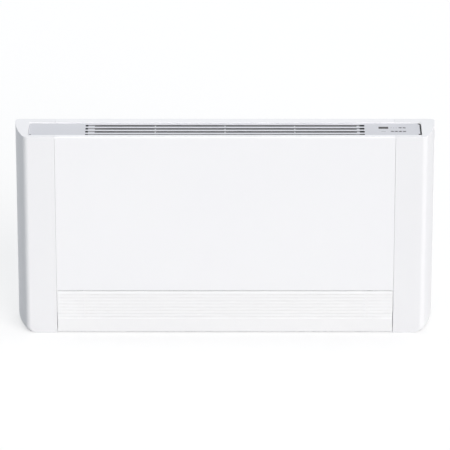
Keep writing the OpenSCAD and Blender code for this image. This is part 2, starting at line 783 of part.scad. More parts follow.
module fan_bearing() {
  mid = -shoulder_x - sheet_t / 2;
  color("goldenrod") difference() {
    bar_x(bush_r, mid - bush_l / 2, mid + bush_l / 2, fan_d, fan_z);
    bar_x(shaft_r + pin_play, mid - bush_l, mid + bush_l, fan_d, fan_z);
  }
}

module bearing_grommet() {
  x = -shoulder_x - sheet_t;
  color("dimgray") difference() {
    union() {
      bar_x(grommet_r, x - grommet_flange_t, x + sheet_t + grommet_flange_t, fan_d, fan_z);
      bar_x(grommet_flange_r, x - grommet_flange_t, x, fan_d, fan_z);
      bar_x(grommet_flange_r, x + sheet_t, x + sheet_t + grommet_flange_t, fan_d, fan_z);
    }
    bar_x(bush_r, x - 20, x + 20, fan_d, fan_z);
  }
}

// Motor on rubber mounts outside the right shoulder
motor_angles = [90, 210, 330];
mount_l = 6;
motor_flange_t = 3;
motor_l = 48;
motor_boss_r = 13;
motor_x = shoulder_x + sheet_t + mount_l;
motor_bore = 30;

module motor_shaft() {
  color("silver") bar_x(shaft_r, fan_l / 2 - hub_l, motor_x + motor_bore - 2, fan_d, fan_z);
}

module fan_motor() {
  color("gray") difference() {
    union() {
      for (a = motor_angles) along_x(motor_flange_t, motor_x) translate([fan_d, fan_z]) rotate(a) {
        translate([mount_circle, 0]) circle(mount_r);
        translate([0, -mount_r]) square([mount_circle, 2 * mount_r]);
      }
      bar_x(motor_r - 4, motor_x, motor_x + motor_flange_t + hair, fan_d, fan_z);
      bar_x(motor_r, motor_x + motor_flange_t + 3, motor_x + motor_l, fan_d, fan_z);
      bar_x(motor_r - 8, motor_x + motor_flange_t, motor_x + motor_l + 6, fan_d, fan_z);
      bar_x(motor_boss_r, motor_x - 4, motor_x + hair, fan_d, fan_z);
    }
    bar_x(shaft_r + pin_play, motor_x - 10, motor_x + motor_bore, fan_d, fan_z);
    for (a = motor_angles)
      bar_x(screw_r + 0.1, motor_x - skin, motor_x + motor_flange_t + skin,
            fan_d + mount_circle * cos(a), fan_z + mount_circle * sin(a));
  }
}

module motor_mounts() {
  color("dimgray") for (a = motor_angles) difference() {
    bar_x(mount_r, motor_x - mount_l, motor_x, fan_d + mount_circle * cos(a), fan_z + mount_circle * sin(a));
    bar_x(screw_r + 0.1, motor_x - mount_l - skin, motor_x + skin,
          fan_d + mount_circle * cos(a), fan_z + mount_circle * sin(a));
  }
}

head_r = 3.4;
head_h = 2.2;

// Pan head screw along +X whose head sits on the plane x0
module screw_x(x0, length, d, z, dir = 1) {
  bar_x(screw_r, x0, x0 + dir * length, d, z);
  bar_x(head_r, x0, x0 - dir * head_h, d, z);
}

module motor_screws() {
  color("silver") for (a = motor_angles)
    screw_x(motor_x + motor_flange_t, motor_flange_t + mount_l + sheet_t, fan_d + mount_circle * cos(a),
            fan_z + mount_circle * sin(a), -1);
}

// Finned coil: straight tubes carrying the fins, bends on the right, headers on the left
end_plate_x = shoulder_x - sheet_t;
plate_margin = 8;
tube_out = 10;
row_x = [-row_pitch / 2, row_pitch / 2];
function tube_y(k) = (k - (tube_rows - 1) / 2) * tube_pitch;

module coil_tube_pattern(r) {
  on_coil() for (x = row_x, k = [0:tube_rows - 1]) translate([x, tube_y(k)]) circle(r);
}

module coil_core() {
  fins = floor((2 * end_plate_x - fin_pitch) / fin_pitch);
  color([0.8, 0.81, 0.83]) {
    along_x(2 * (end_plate_x + tube_out)) coil_tube_pattern(tube_r);
    for (k = [0:fins]) along_x(fin_t, (k - fins / 2) * fin_pitch - fin_t / 2)
      on_coil() square([coil_t, coil_h], center = true);
  }
}

module coil_end_plates() {
  color(zinc) for (side = [0, 1]) along_x(sheet_t, side == 0 ? -end_plate_x - sheet_t : end_plate_x) difference() {
    on_coil() square([coil_t + plate_margin, coil_h + plate_margin], center = true);
    coil_tube_pattern(tube_r + pin_play);
  }
}

// One return bend per tube pair, from the front row to the rear row
module coil_bends() {
  color("peru") for (k = [0:tube_rows - 1])
    translate([end_plate_x + tube_out, fy(coil_d), coil_z]) rotate([coil_lean, 0, 0]) translate([0, 0, tube_y(k)])
      rotate([0, 0, -90]) rotate_extrude(angle = 180) translate([row_pitch / 2, 0]) circle(tube_r);
}

header_r = 9;
header_x = -end_plate_x - tube_out - header_r - 2;
header_half = coil_h / 2 + 4;
nipple_l = 17;
hex_l = 12;
hex_r = 17;
nut_turn = 11;
water_bore = 8;
neck_l = 8;
port_u = 68;

// Header pipe beside one tube row, with stubs to its tubes and an outward connection
module header(row, port) {
  translate([0, fy(coil_d), coil_z]) rotate([coil_lean, 0, 0]) translate([0, row_x[row], 0]) difference() {
    union() {
      translate([header_x, 0, -header_half]) cylinder(r = header_r, h = 2 * header_half);
      for (k = [0:tube_rows - 1]) translate([header_x, 0, tube_y(k)]) rotate([0, 90, 0])
        cylinder(r = tube_r, h = -end_plate_x - tube_out - header_x);
      translate([header_x, 0, port]) rotate([0, -90, 0]) rotate(nut_turn) {
        cylinder(r = water_bore + 2, h = header_r + neck_l);
        translate([0, 0, header_r + neck_l - hex_l + 4]) cylinder(r = hex_r, h = hex_l, $fn = 6);
        translate([0, 0, header_r + neck_l]) cylinder(r = water_r, h = nipple_l);
      }
    }
    translate([header_x, 0, port]) rotate([0, -90, 0]) cylinder(r = water_bore, h = 60);
    children();
  }
}

vent_u = header_half - 10;
vent_r = 5;
vent_screw_r = 2.5;
vent_body_l = 12;
vent_x = header_x - header_r - vent_body_l;

module flow_header() { color("peru") header(0, -port_u); }

module return_header() {
  color("peru") header(1, port_u - 20) translate([header_x, 0, vent_u]) rotate([0, -90, 0]) cylinder(r = vent_r, h = 30);
}

module on_vent() {
  translate([0, fy(coil_d), coil_z]) rotate([coil_lean, 0, 0]) translate([header_x, row_x[1], vent_u])
    rotate([0, -90, 0]) children();
}

module air_vent_body() {
  color("goldenrod") on_vent() difference() {
    union() {
      cylinder(r = vent_r, h = header_r + vent_body_l);
      translate([0, 0, header_r + 1]) cylinder(r = vent_r + 2, h = 5, $fn = 6);
    }
    translate([0, 0, header_r + 2]) cylinder(r = vent_screw_r + pin_play, h = vent_body_l);
  }
}

module air_vent_screw() {
  color("goldenrod") on_vent() difference() {
    union() {
      translate([0, 0, header_r + 2 + slide_play]) cylinder(r = vent_screw_r, h = vent_body_l);
      translate([0, 0, header_r + vent_body_l + slide_play]) cylinder(r = vent_r, h = 4);
    }
    translate([-vent_r, -0.5, header_r + vent_body_l + 3]) cube([2 * vent_r, 1, 3]);
  }
}

// Condensate tray under the coil, with its spigot through the left shoulder
drip_front_d = coil_d - 6.5;
drip_rear_d = body_d - 9;
drip_z = coil_z - 131;
drip_h = [20, 30];
drip_wall = 2;
drain_d = coil_d + 31.5;
drain_collar = 5;
drain_z = drip_z + drain_r + 1.5;
drain_l = 40;

module drip_tray() {
  end = shoulder_x;
  color(black_abs) difference() {
    union() {
      along_x(2 * end) polygon([[drip_front_d, drip_z], [drip_rear_d, drip_z], [drip_rear_d, drip_z + drip_h[1]],
                                [drip_front_d, drip_z + drip_h[0]]]);
      bar_x(drain_r, -end + hair, -end - drain_l, drain_d, drain_z);
      bar_x(drain_r + 1, -end + hair, -end - drain_collar, drain_d, drain_z);
    }
    along_x(2 * (end - drip_wall)) polygon([
      [drip_front_d + drip_wall, drip_z + drip_wall], [drip_rear_d - drip_wall, drip_z + drip_wall],
      [drip_rear_d - drip_wall, drip_z + drip_h[1] + 5], [drip_front_d + drip_wall, drip_z + drip_h[0] + 5]]);
    bar_x(drain_r - 2, -end + 2 * drip_wall, -end - drain_l - skin, drain_d, drain_z);
  }
}

// Electronics box on the outside of the right shoulder
box_x = shoulder_x + sheet_t;
box_w = 56;
box_d0 = 14;
box_d1 = coil_d - 24.5;
box_z0 = arm_z[0] + 15;
box_z1 = coil_z + 20;
box_h = box_z1 - box_z0;
box_wall = 2;
box_lid_t = 2.5;
box_post = 6;
box_post_l = 16;
lid_screw_l = 12;
gland_r = 7;
gland_d = (box_d0 + box_d1) / 2;
gland_bore = 4.5;
box_posts = [for (d = [box_d0 + box_wall + box_post / 2, box_d1 - box_wall - box_post / 2],
                  z = [box_z0 + box_wall + box_post / 2, box_z1 - box_wall - box_post / 2]) [d, z]];

module electronics_box() {
  color("lightgray") difference() {
    union() {
      difference() {
        slab(box_x, box_x + box_w, box_d0, box_d1, box_z0, box_z1);
        slab(box_x + box_wall, box_x + box_w + skin, box_d0 + box_wall, box_d1 - box_wall,
             box_z0 + box_wall, box_z1 - box_wall);
      }
      for (p = box_posts)
        slab(box_x + box_w - box_post_l, box_x + box_w, p.x - box_post / 2 - hair, p.x + box_post / 2 + hair,
             p.y - box_post / 2 - hair, p.y + box_post / 2 + hair);
    }
    for (p = box_posts) bar_x(screw_r, box_x + box_w - 14, box_x + box_w + skin, p.x, p.y);
    translate([box_x + box_w / 2, fy(gland_d), box_z1 - box_wall - skin]) cylinder(r = gland_r, h = box_wall + 2 * skin);
  }
}

module electronics_lid() {
  color("lightgray") difference() {
    slab(box_x + box_w, box_x + box_w + box_lid_t, box_d0, box_d1, box_z0, box_z1);
    for (p = box_posts) bar_x(screw_r + 0.1, box_x + box_w - skin, box_x + box_w + box_lid_t + skin, p.x, p.y);
  }
}

module lid_screws() {
  color("silver") for (p = box_posts)
    screw_x(box_x + box_w + box_lid_t, lid_screw_l, p.x, p.y, -1);
}

transformer_h = 24;
terminal_h = 14;
capacitor_r = 7;
capacitor_h = 26;

// Circuit board on the box floor, with its transformer, capacitor and terminal strip
module power_board() {
  x = box_x + box_wall;
  d0 = box_d0 + box_wall + 1;
  d1 = box_d1 - box_wall - 1;
  color("seagreen") {
    slab(x, x + board_t, d0, d1, box_z0 + 0.1 * box_h, box_z1 - 0.1 * box_h);
    slab(x + board_t - hair, x + transformer_h, d0 + 2, d1 - 2, box_z0 + 0.17 * box_h, box_z0 + 0.38 * box_h);
    slab(x + board_t - hair, x + terminal_h, d0 + 2, d1 - 2, box_z1 - 0.26 * box_h, box_z1 - 0.17 * box_h);
    bar_x(capacitor_r, x + board_t - hair, x + capacitor_h, (d0 + d1) / 2, box_z0 + 0.5 * box_h);
  }
}

module cable_gland() {
  x = box_x + box_w / 2;
  color(black_abs) translate([x, fy(gland_d), box_z1]) mirror([0, 0, 1]) difference() {
    union() {
      translate([0, 0, -5]) cylinder(r = gland_r + 3, h = 5, $fn = 6);
      translate([0, 0, -12]) cylinder(r1 = gland_r - 1, r2 = gland_r + 1, h = 7 + hair);
      cylinder(r = gland_r, h = box_wall + hair);
      translate([0, 0, box_wall]) cylinder(r = gland_r + 2.5, h = 4, $fn = 6);
    }
    translate([0, 0, -12 - skin]) cylinder(r = gland_bore, h = 40);
  }
}

// Control board under the outlet grille, with one switch below each key
switch_gap = 0.1;
key_stem = 4;
key_proud = 0.4;
key_flange_t = 1.2;
key_flange_x = 0.6;
key_flange_d = 1.5;
stem_foot = board_z + 2.4;

module control_board() {
  color("seagreen") difference() {
    union() {
      slab(board_x - board_w / 2, board_x + board_w / 2, board_mid_d - board_d / 2, board_mid_d + board_d / 2,
           board_z - board_t, board_z);
      for (p = key_places)
        translate([p.x, fy(p.y), board_z - hair])
          cylinder(r = 2.5, h = stem_foot - key_travel - switch_gap - board_z + hair);
    }
    for (p = board_corners)
      translate([p.x, fy(p.y), board_z - board_t - skin]) cylinder(r = screw_r + 0.1, h = board_t + 2 * skin);
  }
}

module board_screws() {
  color("silver") for (p = board_corners) translate([p.x, fy(p.y), board_z - board_t]) {
    cylinder(r = screw_r, h = board_screw_l);
    translate([0, 0, -head_h]) cylinder(r = head_r, h = head_h);
  }
}

// Push key: cap in the grille's hole, retaining flange below it and a stem to the switch
module key(i) {
  p = key_places[i];
  flange_top = tray_under - slide_play;
  color(trim_grey) {
    slab(p.x - key_w / 2, p.x + key_w / 2, p.y - key_d / 2, p.y + key_d / 2, flange_top - hair, tray_top + key_proud);
    slab(p.x - key_w / 2 - key_flange_x, p.x + key_w / 2 + key_flange_x, p.y - key_d / 2 - key_flange_d,
         p.y + key_d / 2 + key_flange_d, flange_top - key_flange_t, flange_top);
    slab(p.x - key_stem / 2, p.x + key_stem / 2, p.y - key_stem / 2, p.y + key_stem / 2, stem_foot,
         flange_top - key_flange_t + hair);
  }
}

module key_power() { key(0); }
module key_mode() { key(1); }
module key_fan() { key(2); }
module key_minus() { key(3); }
module key_plus() { key(4); }
module key_night() { key(5); }

module cover_screws() {
  color("silver") for (side = [-1, 1], z = arm_z)
    screw_x(side * (seam_x - sheet_t), sheet_t + cover_wall, screw_d, z - arm_flange / 2, side);
}

module frame_screws() {
  back = body_d - back_t;
  color("silver") for (p = frame_screw_places) translate([p.x, fy(back - sheet_t), p.y]) rotate([-90, 0, 0]) {
    cylinder(r = screw_r, h = sheet_t + back_t);
    translate([0, 0, -head_h]) cylinder(r = head_r, h = head_h);
  }
}

front_panel();
left_side_cover();
right_side_cover();
rear_top_rail();
back_panel();
left_shoulder();
right_shoulder();
base_rail();
left_cover_arms();
right_cover_arms();
outlet_grille();
air_vane_1();
air_vane_2();
air_vane_3();
vane_link();
intake_grille();
hinge_pins();
grille_magnets();
filter_frame();
filter_mesh();
rear_scroll();
front_baffle();
fan_rotor();
fan_stub_shaft();
fan_bearing();
bearing_grommet();
motor_shaft();
fan_motor();
motor_mounts();
motor_screws();
coil_core();
coil_bends();
coil_end_plates();
flow_header();
return_header();
air_vent_body();
air_vent_screw();
drip_tray();
electronics_box();
electronics_lid();
power_board();
cable_gland();
lid_screws();
control_board();
board_screws();
display_window();
key_power();
key_mode();
key_fan();
key_minus();
key_plus();
key_night();
cover_screws();
frame_screws();
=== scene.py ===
import math

import bmesh
import bpy
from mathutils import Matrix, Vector


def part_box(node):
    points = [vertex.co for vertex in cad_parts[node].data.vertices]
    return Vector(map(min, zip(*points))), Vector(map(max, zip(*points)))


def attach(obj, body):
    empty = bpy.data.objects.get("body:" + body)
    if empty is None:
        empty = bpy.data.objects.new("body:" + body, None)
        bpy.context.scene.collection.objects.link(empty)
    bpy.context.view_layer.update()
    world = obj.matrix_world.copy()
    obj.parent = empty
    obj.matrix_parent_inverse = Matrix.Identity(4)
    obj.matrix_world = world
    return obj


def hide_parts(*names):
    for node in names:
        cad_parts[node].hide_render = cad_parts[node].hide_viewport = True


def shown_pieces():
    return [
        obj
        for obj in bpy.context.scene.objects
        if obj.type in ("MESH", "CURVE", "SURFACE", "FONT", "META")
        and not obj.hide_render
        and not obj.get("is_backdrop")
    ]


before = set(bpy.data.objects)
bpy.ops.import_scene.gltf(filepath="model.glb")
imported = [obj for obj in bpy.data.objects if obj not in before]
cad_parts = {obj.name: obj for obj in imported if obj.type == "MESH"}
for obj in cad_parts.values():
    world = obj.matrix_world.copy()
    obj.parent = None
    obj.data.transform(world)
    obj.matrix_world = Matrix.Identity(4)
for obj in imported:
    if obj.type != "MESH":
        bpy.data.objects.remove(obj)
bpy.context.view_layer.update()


# Studio: a pale seamless floor under two broad soft lamps, one from the right front and one from above, with
# weak cool light all round, so that the far left corner of the unit falls into bluish shade. The long lens
# keeps the wide front square to the picture, as the photograph does.
def linear(code):
    """A colour written as an sRGB hex value, in linear light."""
    parts = [int(code[k:k + 2], 16) / 255 for k in (1, 3, 5)]
    return [p / 12.92 if p <= 0.04045 else ((p + 0.055) / 1.055) ** 2.4 for p in parts] + [1.0]


def wire(tree, kind, inputs=None, **settings):
    """Adds one node to a tree, with its settings, and joins or sets its inputs."""
    made = tree.nodes.new("ShaderNode" + kind)
    for name, value in settings.items():
        setattr(made, name, value)
    for name, value in (inputs or {}).items():
        if isinstance(value, bpy.types.NodeSocket):
            tree.links.new(value, made.inputs[name])
        else:
            made.inputs[name].default_value = value
    return made


def seen(tree):
    """Is 1 on the rays by which a background is seen: straight, in a reflection or through glass."""
    ray = wire(tree, "LightPath").outputs
    mirror = wire(tree, "Math", {0: ray["Is Camera Ray"], 1: ray["Is Glossy Ray"]}, operation="MAXIMUM")
    glass = wire(tree, "Math", {0: mirror.outputs[0], 1: ray["Is Transmission Ray"]}, operation="MAXIMUM")
    return glass.outputs[0]


scene = bpy.context.scene
scene.view_settings.view_transform = "Standard"

camera = bpy.data.objects.new("camera", bpy.data.cameras.new("camera"))
scene.collection.objects.link(camera)
scene.camera = camera
camera.data.sensor_width = 36
camera.data.lens = 352
camera.data.clip_end = 200
aim_height, distance, down = 0.293, 12, math.radians(23.5)
camera.location = (0, -distance * math.cos(down), aim_height + distance * math.sin(down))
camera.rotation_euler = (math.pi / 2 - down, 0, 0)

# Each lamp's strength, spread in degrees, colour and direction.
lamps = {"softbox": (2.57, 50, (1.0, 0.965, 0.932), (-0.50, 0.76, -0.40)),
         "ceiling": (1.34, 60, (1.0, 0.965, 0.945), (0.0, -0.20, -1.0))}
for name, (strength, spread, colour, way) in lamps.items():
    lamp = bpy.data.objects.new(name, bpy.data.lights.new(name, "SUN"))
    scene.collection.objects.link(lamp)
    lamp.data.energy = strength
    lamp.data.angle = math.radians(spread)
    lamp.data.color = colour
    lamp.rotation_euler = Vector(way).to_track_quat("-Z", "Y").to_euler()

# The sky lights the unit weakly and cool, and looks white where it is seen.
sky = bpy.data.worlds.new("sky")
scene.world = sky
sky.use_nodes = True
tree = sky.node_tree
tree.nodes.clear()
light = wire(tree, "Background", {"Color": (0.72, 0.87, 1.0, 1.0), "Strength": 0.27})
paper = wire(tree, "Background", {"Color": (1.0, 1.0, 1.0, 1.0), "Strength": 1.0})
both = wire(tree, "MixShader", {0: seen(tree), 1: light.outputs[0], 2: paper.outputs[0]})
wire(tree, "OutputWorld", {"Surface": both.outputs[0]})

# White paper floor: nearly white where it is seen, with the unit's shadow on it. It lights the unit from
# below as a light grey would.
floor_size, floor_height, glow_share = 120, -0.0005, 0.6
bpy.ops.object.select_all(action="DESELECT")
bpy.ops.mesh.primitive_plane_add(size=floor_size, location=(0, 0, floor_height))
floor = bpy.context.object
floor.name = "floor"
bpy.ops.object.transform_apply(location=True, rotation=True, scale=True)
paper_floor = bpy.data.materials.new("white_paper_floor")
paper_floor.use_nodes = True
tree = paper_floor.node_tree
tree.nodes.clear()
grey = wire(tree, "BsdfDiffuse", {"Color": linear("#C8C8C8")})
white = wire(tree, "BsdfDiffuse", {"Color": linear("#FFFFFF")})
glow = wire(tree, "Emission", {"Color": (1.0, 1.0, 1.0, 1.0), "Strength": 1.03})
bright = wire(tree, "MixShader", {0: glow_share, 1: white.outputs[0], 2: glow.outputs[0]})
both = wire(tree, "MixShader", {0: seen(tree), 1: grey.outputs[0], 2: bright.outputs[0]})
wire(tree, "OutputMaterial", {"Surface": both.outputs[0]})
floor.data.materials.append(paper_floor)
floor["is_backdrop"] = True


# Back panel, shoulders, base rail and cover arms: the hidden chassis, folded from hot-dip galvanised sheet
# and joined by self-tapping screws. They keep their CAD shape. The coil's end plates are the same sheet.
def finish(name, colour, roughness, metallic=0.0, **more):
    """A material with one shader. Its colour and roughness are plain values that a pattern then varies."""
    made = bpy.data.materials.new(name)
    made.use_nodes = True
    tree = made.node_tree
    tree.nodes.clear()
    plain = {"Base Color": linear(colour), "Roughness": roughness, "Metallic": metallic}
    shader = wire(tree, "BsdfPrincipled", {**plain, **more})
    wire(tree, "OutputMaterial", {"Surface": shader.outputs[0]})
    place = wire(tree, "TexCoord").outputs["Object"]
    return made, tree, shader, place


def dress(material, *names):
    """Gives CAD nodes a material."""
    for name in names:
        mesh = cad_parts[name].data
        mesh.materials.clear()
        mesh.materials.append(material)


# Hot-dip galvanised steel: cold grey zinc in flat crystals about 9 mm across, each with its own brightness
# and gloss, so that the sheet looks like a patchwork. A Mix node's colours are its sockets 6 and 7, and the
# mixed colour is its output 2.
crystal = 0.009
galvanised, tree, shader, place = finish("galvanised_steel", "#C3C7CA", 0.42, metallic=1.0)
cells = {"Vector": place, "Scale": 1 / crystal, "Randomness": 1.0}
spangle = wire(tree, "TexVoronoi", cells).outputs["Color"]
shade = wire(tree, "Mix", {0: spangle, 6: linear("#B4B9BD"), 7: linear("#D3D6D8")}, data_type="RGBA")
tree.links.new(shade.outputs[2], shader.inputs["Base Color"])
gloss = wire(tree, "MapRange", {"Value": spangle, "To Min": 0.34, "To Max": 0.52})
tree.links.new(gloss.outputs[0], shader.inputs["Roughness"])
dress(galvanised, "back_panel", "left_shoulder", "right_shoulder", "base_rail", "left_cover_arms",
      "right_cover_arms", "coil_end_plates")


# Fan housing: a spiral rear wall and a front baffle, moulded in black plastic, that wrap the fan and lead
# its air up to the outlet. The condensate tray under the coil and the cable gland are moulded alike.
def grained(name, pale, deep, roughness, grain, relief, drift=120, metallic=0.0, **more):
    """A finish whose colour drifts between two shades and whose skin has a fine grain, sizes in mm."""
    made, tree, shader, place = finish(name, pale, roughness, metallic, **more)
    cloud = wire(tree, "TexNoise", {"Vector": place, "Scale": 1000 / drift, "Detail": 3.0}).outputs["Fac"]
    tone = wire(tree, "Mix", {0: cloud, 6: linear(deep), 7: linear(pale)}, data_type="RGBA")
    tree.links.new(tone.outputs[2], shader.inputs["Base Color"])
    skin = wire(tree, "TexNoise", {"Vector": place, "Scale": 1000 / grain, "Detail": 2.0}).outputs["Fac"]
    sheen = {"Value": skin, "To Min": roughness - 0.05, "To Max": roughness + 0.05}
    tree.links.new(wire(tree, "MapRange", sheen).outputs[0], shader.inputs["Roughness"])
    bump = wire(tree, "Bump", {"Height": skin, "Distance": relief / 1000, "Strength": 1.0})
    tree.links.new(bump.outputs[0], shader.inputs["Normal"])
    return made


# Black ABS off a spark-eroded mould: near black, soft sheen, grain of about 0.8 mm.
black_abs = grained("black_moulded_abs", "#232427", "#1A1B1D", 0.52, grain=0.8, relief=0.04)
dress(black_abs, "rear_scroll", "front_baffle", "drip_tray", "cable_gland")


# Cross-flow fan: a long drum of curved black blades between ring plates. It turns on a bright steel stub
# shaft in a bronze bush at the left end, and on the motor's shaft at the right end.
dress(black_abs, "fan_rotor")

# Turned steel: bright, with rings left by the tool. Real ones are finer; these are 1.2 mm apart, so that
# they show. At scale 1 a Wave Texture repeats every 2 pi / 20 metres. The hinge pins are turned too.
one_wave = 2 * math.pi / 20
ring_pitch = 0.001184
bright_steel, tree, shader, place = finish("turned_steel", "#CFCFD1", 0.24, metallic=1.0)
turned = {"Vector": place, "Scale": one_wave / ring_pitch, "Distortion": 0.4}
rings = wire(tree, "TexWave", turned, bands_direction="X").outputs["Fac"]
bump = wire(tree, "Bump", {"Height": rings, "Distance": 0.00003})
tree.links.new(bump.outputs[0], shader.inputs["Normal"])
gloss = wire(tree, "MapRange", {"Value": rings, "To Min": 0.20, "To Max": 0.30})
tree.links.new(gloss.outputs[0], shader.inputs["Roughness"])
dress(bright_steel, "fan_stub_shaft", "motor_shaft", "hinge_pins")

# Sintered bronze: brown gold and slightly porous. Rubber: matt black with a dusty bloom.
bronze = grained("sintered_bronze", "#B58B4A", "#936C36", 0.42, grain=0.6, relief=0.05, drift=10,
                 metallic=1.0)
dress(bronze, "fan_bearing")
rubber = grained("black_rubber", "#2B2B2C", "#202021", 0.78, grain=1.2, relief=0.06, drift=20)
dress(rubber, "bearing_grommet", "motor_mounts")

# Grey stoving lacquer on the motor's pressed shell: smooth, half gloss.
lacquer = grained("grey_stove_lacquer", "#8B8E91", "#7F8285", 0.34, grain=2.5, relief=0.05, drift=30)
dress(lacquer, "fan_motor")


# Water coil: copper tubes expanded into aluminium fins, with copper headers at the left end and a brass air
# vent on the higher one. All of it keeps its CAD shape.

# Aluminium fin stock: pale, half bright, rolled. Copper tube: pink brown, darker where it has aged. Brass:
# warm yellow, turned.
fin_stock = grained("rolled_fin_aluminium", "#D9DBDD", "#C9CBCE", 0.33, grain=1.5, relief=0.03, drift=50,
                    metallic=1.0)
dress(fin_stock, "coil_core")
copper = grained("aged_copper", "#D08A66", "#A5603F", 0.32, grain=2.0, relief=0.03, drift=30, metallic=1.0)
dress(copper, "coil_bends", "flow_header", "return_header")
brass = grained("turned_brass", "#D9B767", "#BE9A4C", 0.28, grain=1.0, relief=0.02, drift=20, metallic=1.0)
dress(brass, "air_vent_body", "air_vent_screw")


# Electronics box: light grey flame-retardant plastic box with a lid, screwed to the right shoulder. It holds
# the power board; the control board hangs under the outlet grille.
box_plastic = grained("light_grey_polycarbonate", "#C4C5C4", "#BBBCBB", 0.48, grain=1.0, relief=0.05)
dress(box_plastic, "electronics_box", "electronics_lid")

# Circuit board: green solder resist, with paler copper tracks 1.2 mm wide under it every 4 mm.
track_half, track_pitch, track_length = 0.0006, 0.004, 0.016
circuit, tree, shader, place = finish("green_circuit_board", "#14532F", 0.36)
board = {"Vector": place, "Color1": linear("#14532F"), "Color2": linear("#17603A"),
         "Mortar": linear("#2E8052"), "Scale": 1.0, "Mortar Size": track_half,
         "Brick Width": track_length, "Row Height": track_pitch}
tree.links.new(wire(tree, "TexBrick", board).outputs["Color"], shader.inputs["Base Color"])
dress(circuit, "power_board", "control_board")


# Screws: pan heads in zinc-plated steel, which hold the motor, the lid, the boards, the covers and the
# chassis. The plating is cool and bright, with a faint haze.
zinc = grained("zinc_plated_steel", "#D2D6DA", "#BFC4C9", 0.30, grain=0.8, relief=0.03, drift=10,
               metallic=1.0)
dress(zinc, "motor_screws", "lid_screws", "board_screws", "cover_screws", "frame_screws")


# Catch magnets: two blocks of sintered ferrite on the shoulders, which hold the intake grille shut by its
# posts. Ferrite is charcoal grey, dull and finely granular.
ferrite = grained("sintered_ferrite", "#3A3B3D", "#2C2D2F", 0.62, grain=0.6, relief=0.06, drift=10)
dress(ferrite, "grille_magnets")


# Air filter: a frame moulded in dark polypropylene, with a woven nylon net in it. It slides up out of the
# intake grille's rails. Both keep their CAD shape.
filter_plastic = grained("dark_grey_polypropylene", "#4A4D50", "#414447", 0.50, grain=1.0, relief=0.04)
dress(filter_plastic, "filter_frame")

# Woven nylon net: black threads with small openings. The real threads are under 1 mm apart; here they are
# 4.7 mm apart, so that the weave shows in the picture.
thread_pitch = 0.004737
net, tree, shader, place = finish("woven_nylon_net", "#3A3D40", 0.62)
threads = {"Vector": place, "Scale": one_wave / thread_pitch}
warp = wire(tree, "TexWave", threads, bands_direction="X").outputs["Fac"]
weft = wire(tree, "TexWave", threads, bands_direction="Z").outputs["Fac"]
thread = wire(tree, "Math", {0: warp, 1: weft}, operation="MAXIMUM").outputs[0]
tone = wire(tree, "Mix", {0: thread, 6: linear("#141516"), 7: linear("#55595D")}, data_type="RGBA")
tree.links.new(tone.outputs[2], shader.inputs["Base Color"])
bump = wire(tree, "Bump", {"Height": thread, "Distance": 0.0004})
tree.links.new(bump.outputs[0], shader.inputs["Normal"])
dress(net, "filter_mesh")


# Intake grille: one moulding in bright white ABS. A plain skirt with a rounded foot carries nine sloping
# slats on upright ribs. It tips forward on two knuckles, rails on its back hold the filter, and two posts
# meet the catch magnets.
front_plane = 65.5  # mm in front of the middle of the unit
across, back, up = (1, 0, 0), (0, 1, 0), (0, 0, 1)
merge_gap = 0.00002
smooth_angle, sharp_angle = math.radians(35), math.radians(40)
over = 1.0  # mm by which a cutter stands out of what it cuts


def at(x, f, z):
    """A place in metres from mm: across, depth behind the front plane, and height."""
    return x / 1000, (f - front_plane) / 1000, z / 1000


def in_mm(place):
    """A place in mm from metres: across, depth behind the front plane, and height."""
    return place[0] * 1000, place[1] * 1000 + front_plane, place[2] * 1000


def block(name, lo, hi):
    """A box between two corners in mm: across, depth behind the front plane, and height."""
    bpy.ops.object.select_all(action="DESELECT")
    middle = [(a + b) / 2 for a, b in zip(lo, hi)]
    bpy.ops.mesh.primitive_cube_add(size=1, location=at(*middle))
    made = bpy.context.object
    made.scale = [(b - a) / 1000 for a, b in zip(lo, hi)]
    bpy.ops.object.transform_apply(location=True, rotation=True, scale=True)
    made.name = made.data.name = name
    return made


def mode(name):
    """Goes to edit mode or to object mode."""
    bpy.ops.object.mode_set(mode=name)


def choose(kind, test):
    """In edit mode, selects the points, edges or faces that pass a test, on the place of their middle in mm
    (across, depth, height) and on themselves."""
    bpy.ops.mesh.select_mode(type=kind)
    bpy.ops.mesh.select_all(action="DESELECT")
    shape = bmesh.from_edit_mesh(bpy.context.object.data)
    for part in {"VERT": shape.verts, "EDGE": shape.edges, "FACE": shape.faces}[kind]:
        points = [part.co] if kind == "VERT" else [v.co for v in part.verts]
        x, f, z = in_mm(sum(points, Vector()) / len(points))
        if test(x, f, z, part):
            part.select_set(True)
    shape.select_flush_mode()
    bmesh.update_edit_mesh(bpy.context.object.data)


def along(edge, axis):
    """True if an edge runs along an axis: 0 across, 1 in depth, 2 upright."""
    way = (edge.verts[1].co - edge.verts[0].co).normalized()
    return abs(way[axis]) > 0.99


def settle(piece, x, f, z):
    """Merges a sheet's doubles and turns its faces one way: that nearest to a place in mm looks forward."""
    mode("EDIT")
    bpy.ops.mesh.select_all(action="SELECT")
    bpy.ops.mesh.remove_doubles(threshold=merge_gap)
    bpy.ops.mesh.normals_make_consistent(inside=False)
    spot = Vector(at(x, f, z))
    shape = bmesh.from_edit_mesh(piece.data)
    near = min(shape.faces, key=lambda face: (face.calc_center_median() - spot).length)
    if near.normal.y > 0:
        bpy.ops.mesh.flip_normals()
    mode("OBJECT")


def pick(*parts):
    """Selects these objects alone. The first becomes the active one."""
    bpy.ops.object.select_all(action="DESELECT")
    for part in parts:
        part.select_set(True)
    bpy.context.view_layer.objects.active = parts[0]


def modify(piece, kind, **settings):
    """Adds a modifier with its settings and applies it."""
    pick(piece)
    made = piece.modifiers.new(kind.lower(), kind)
    for name, value in settings.items():
        setattr(made, name, value)
    bpy.ops.object.modifier_apply(modifier=made.name)


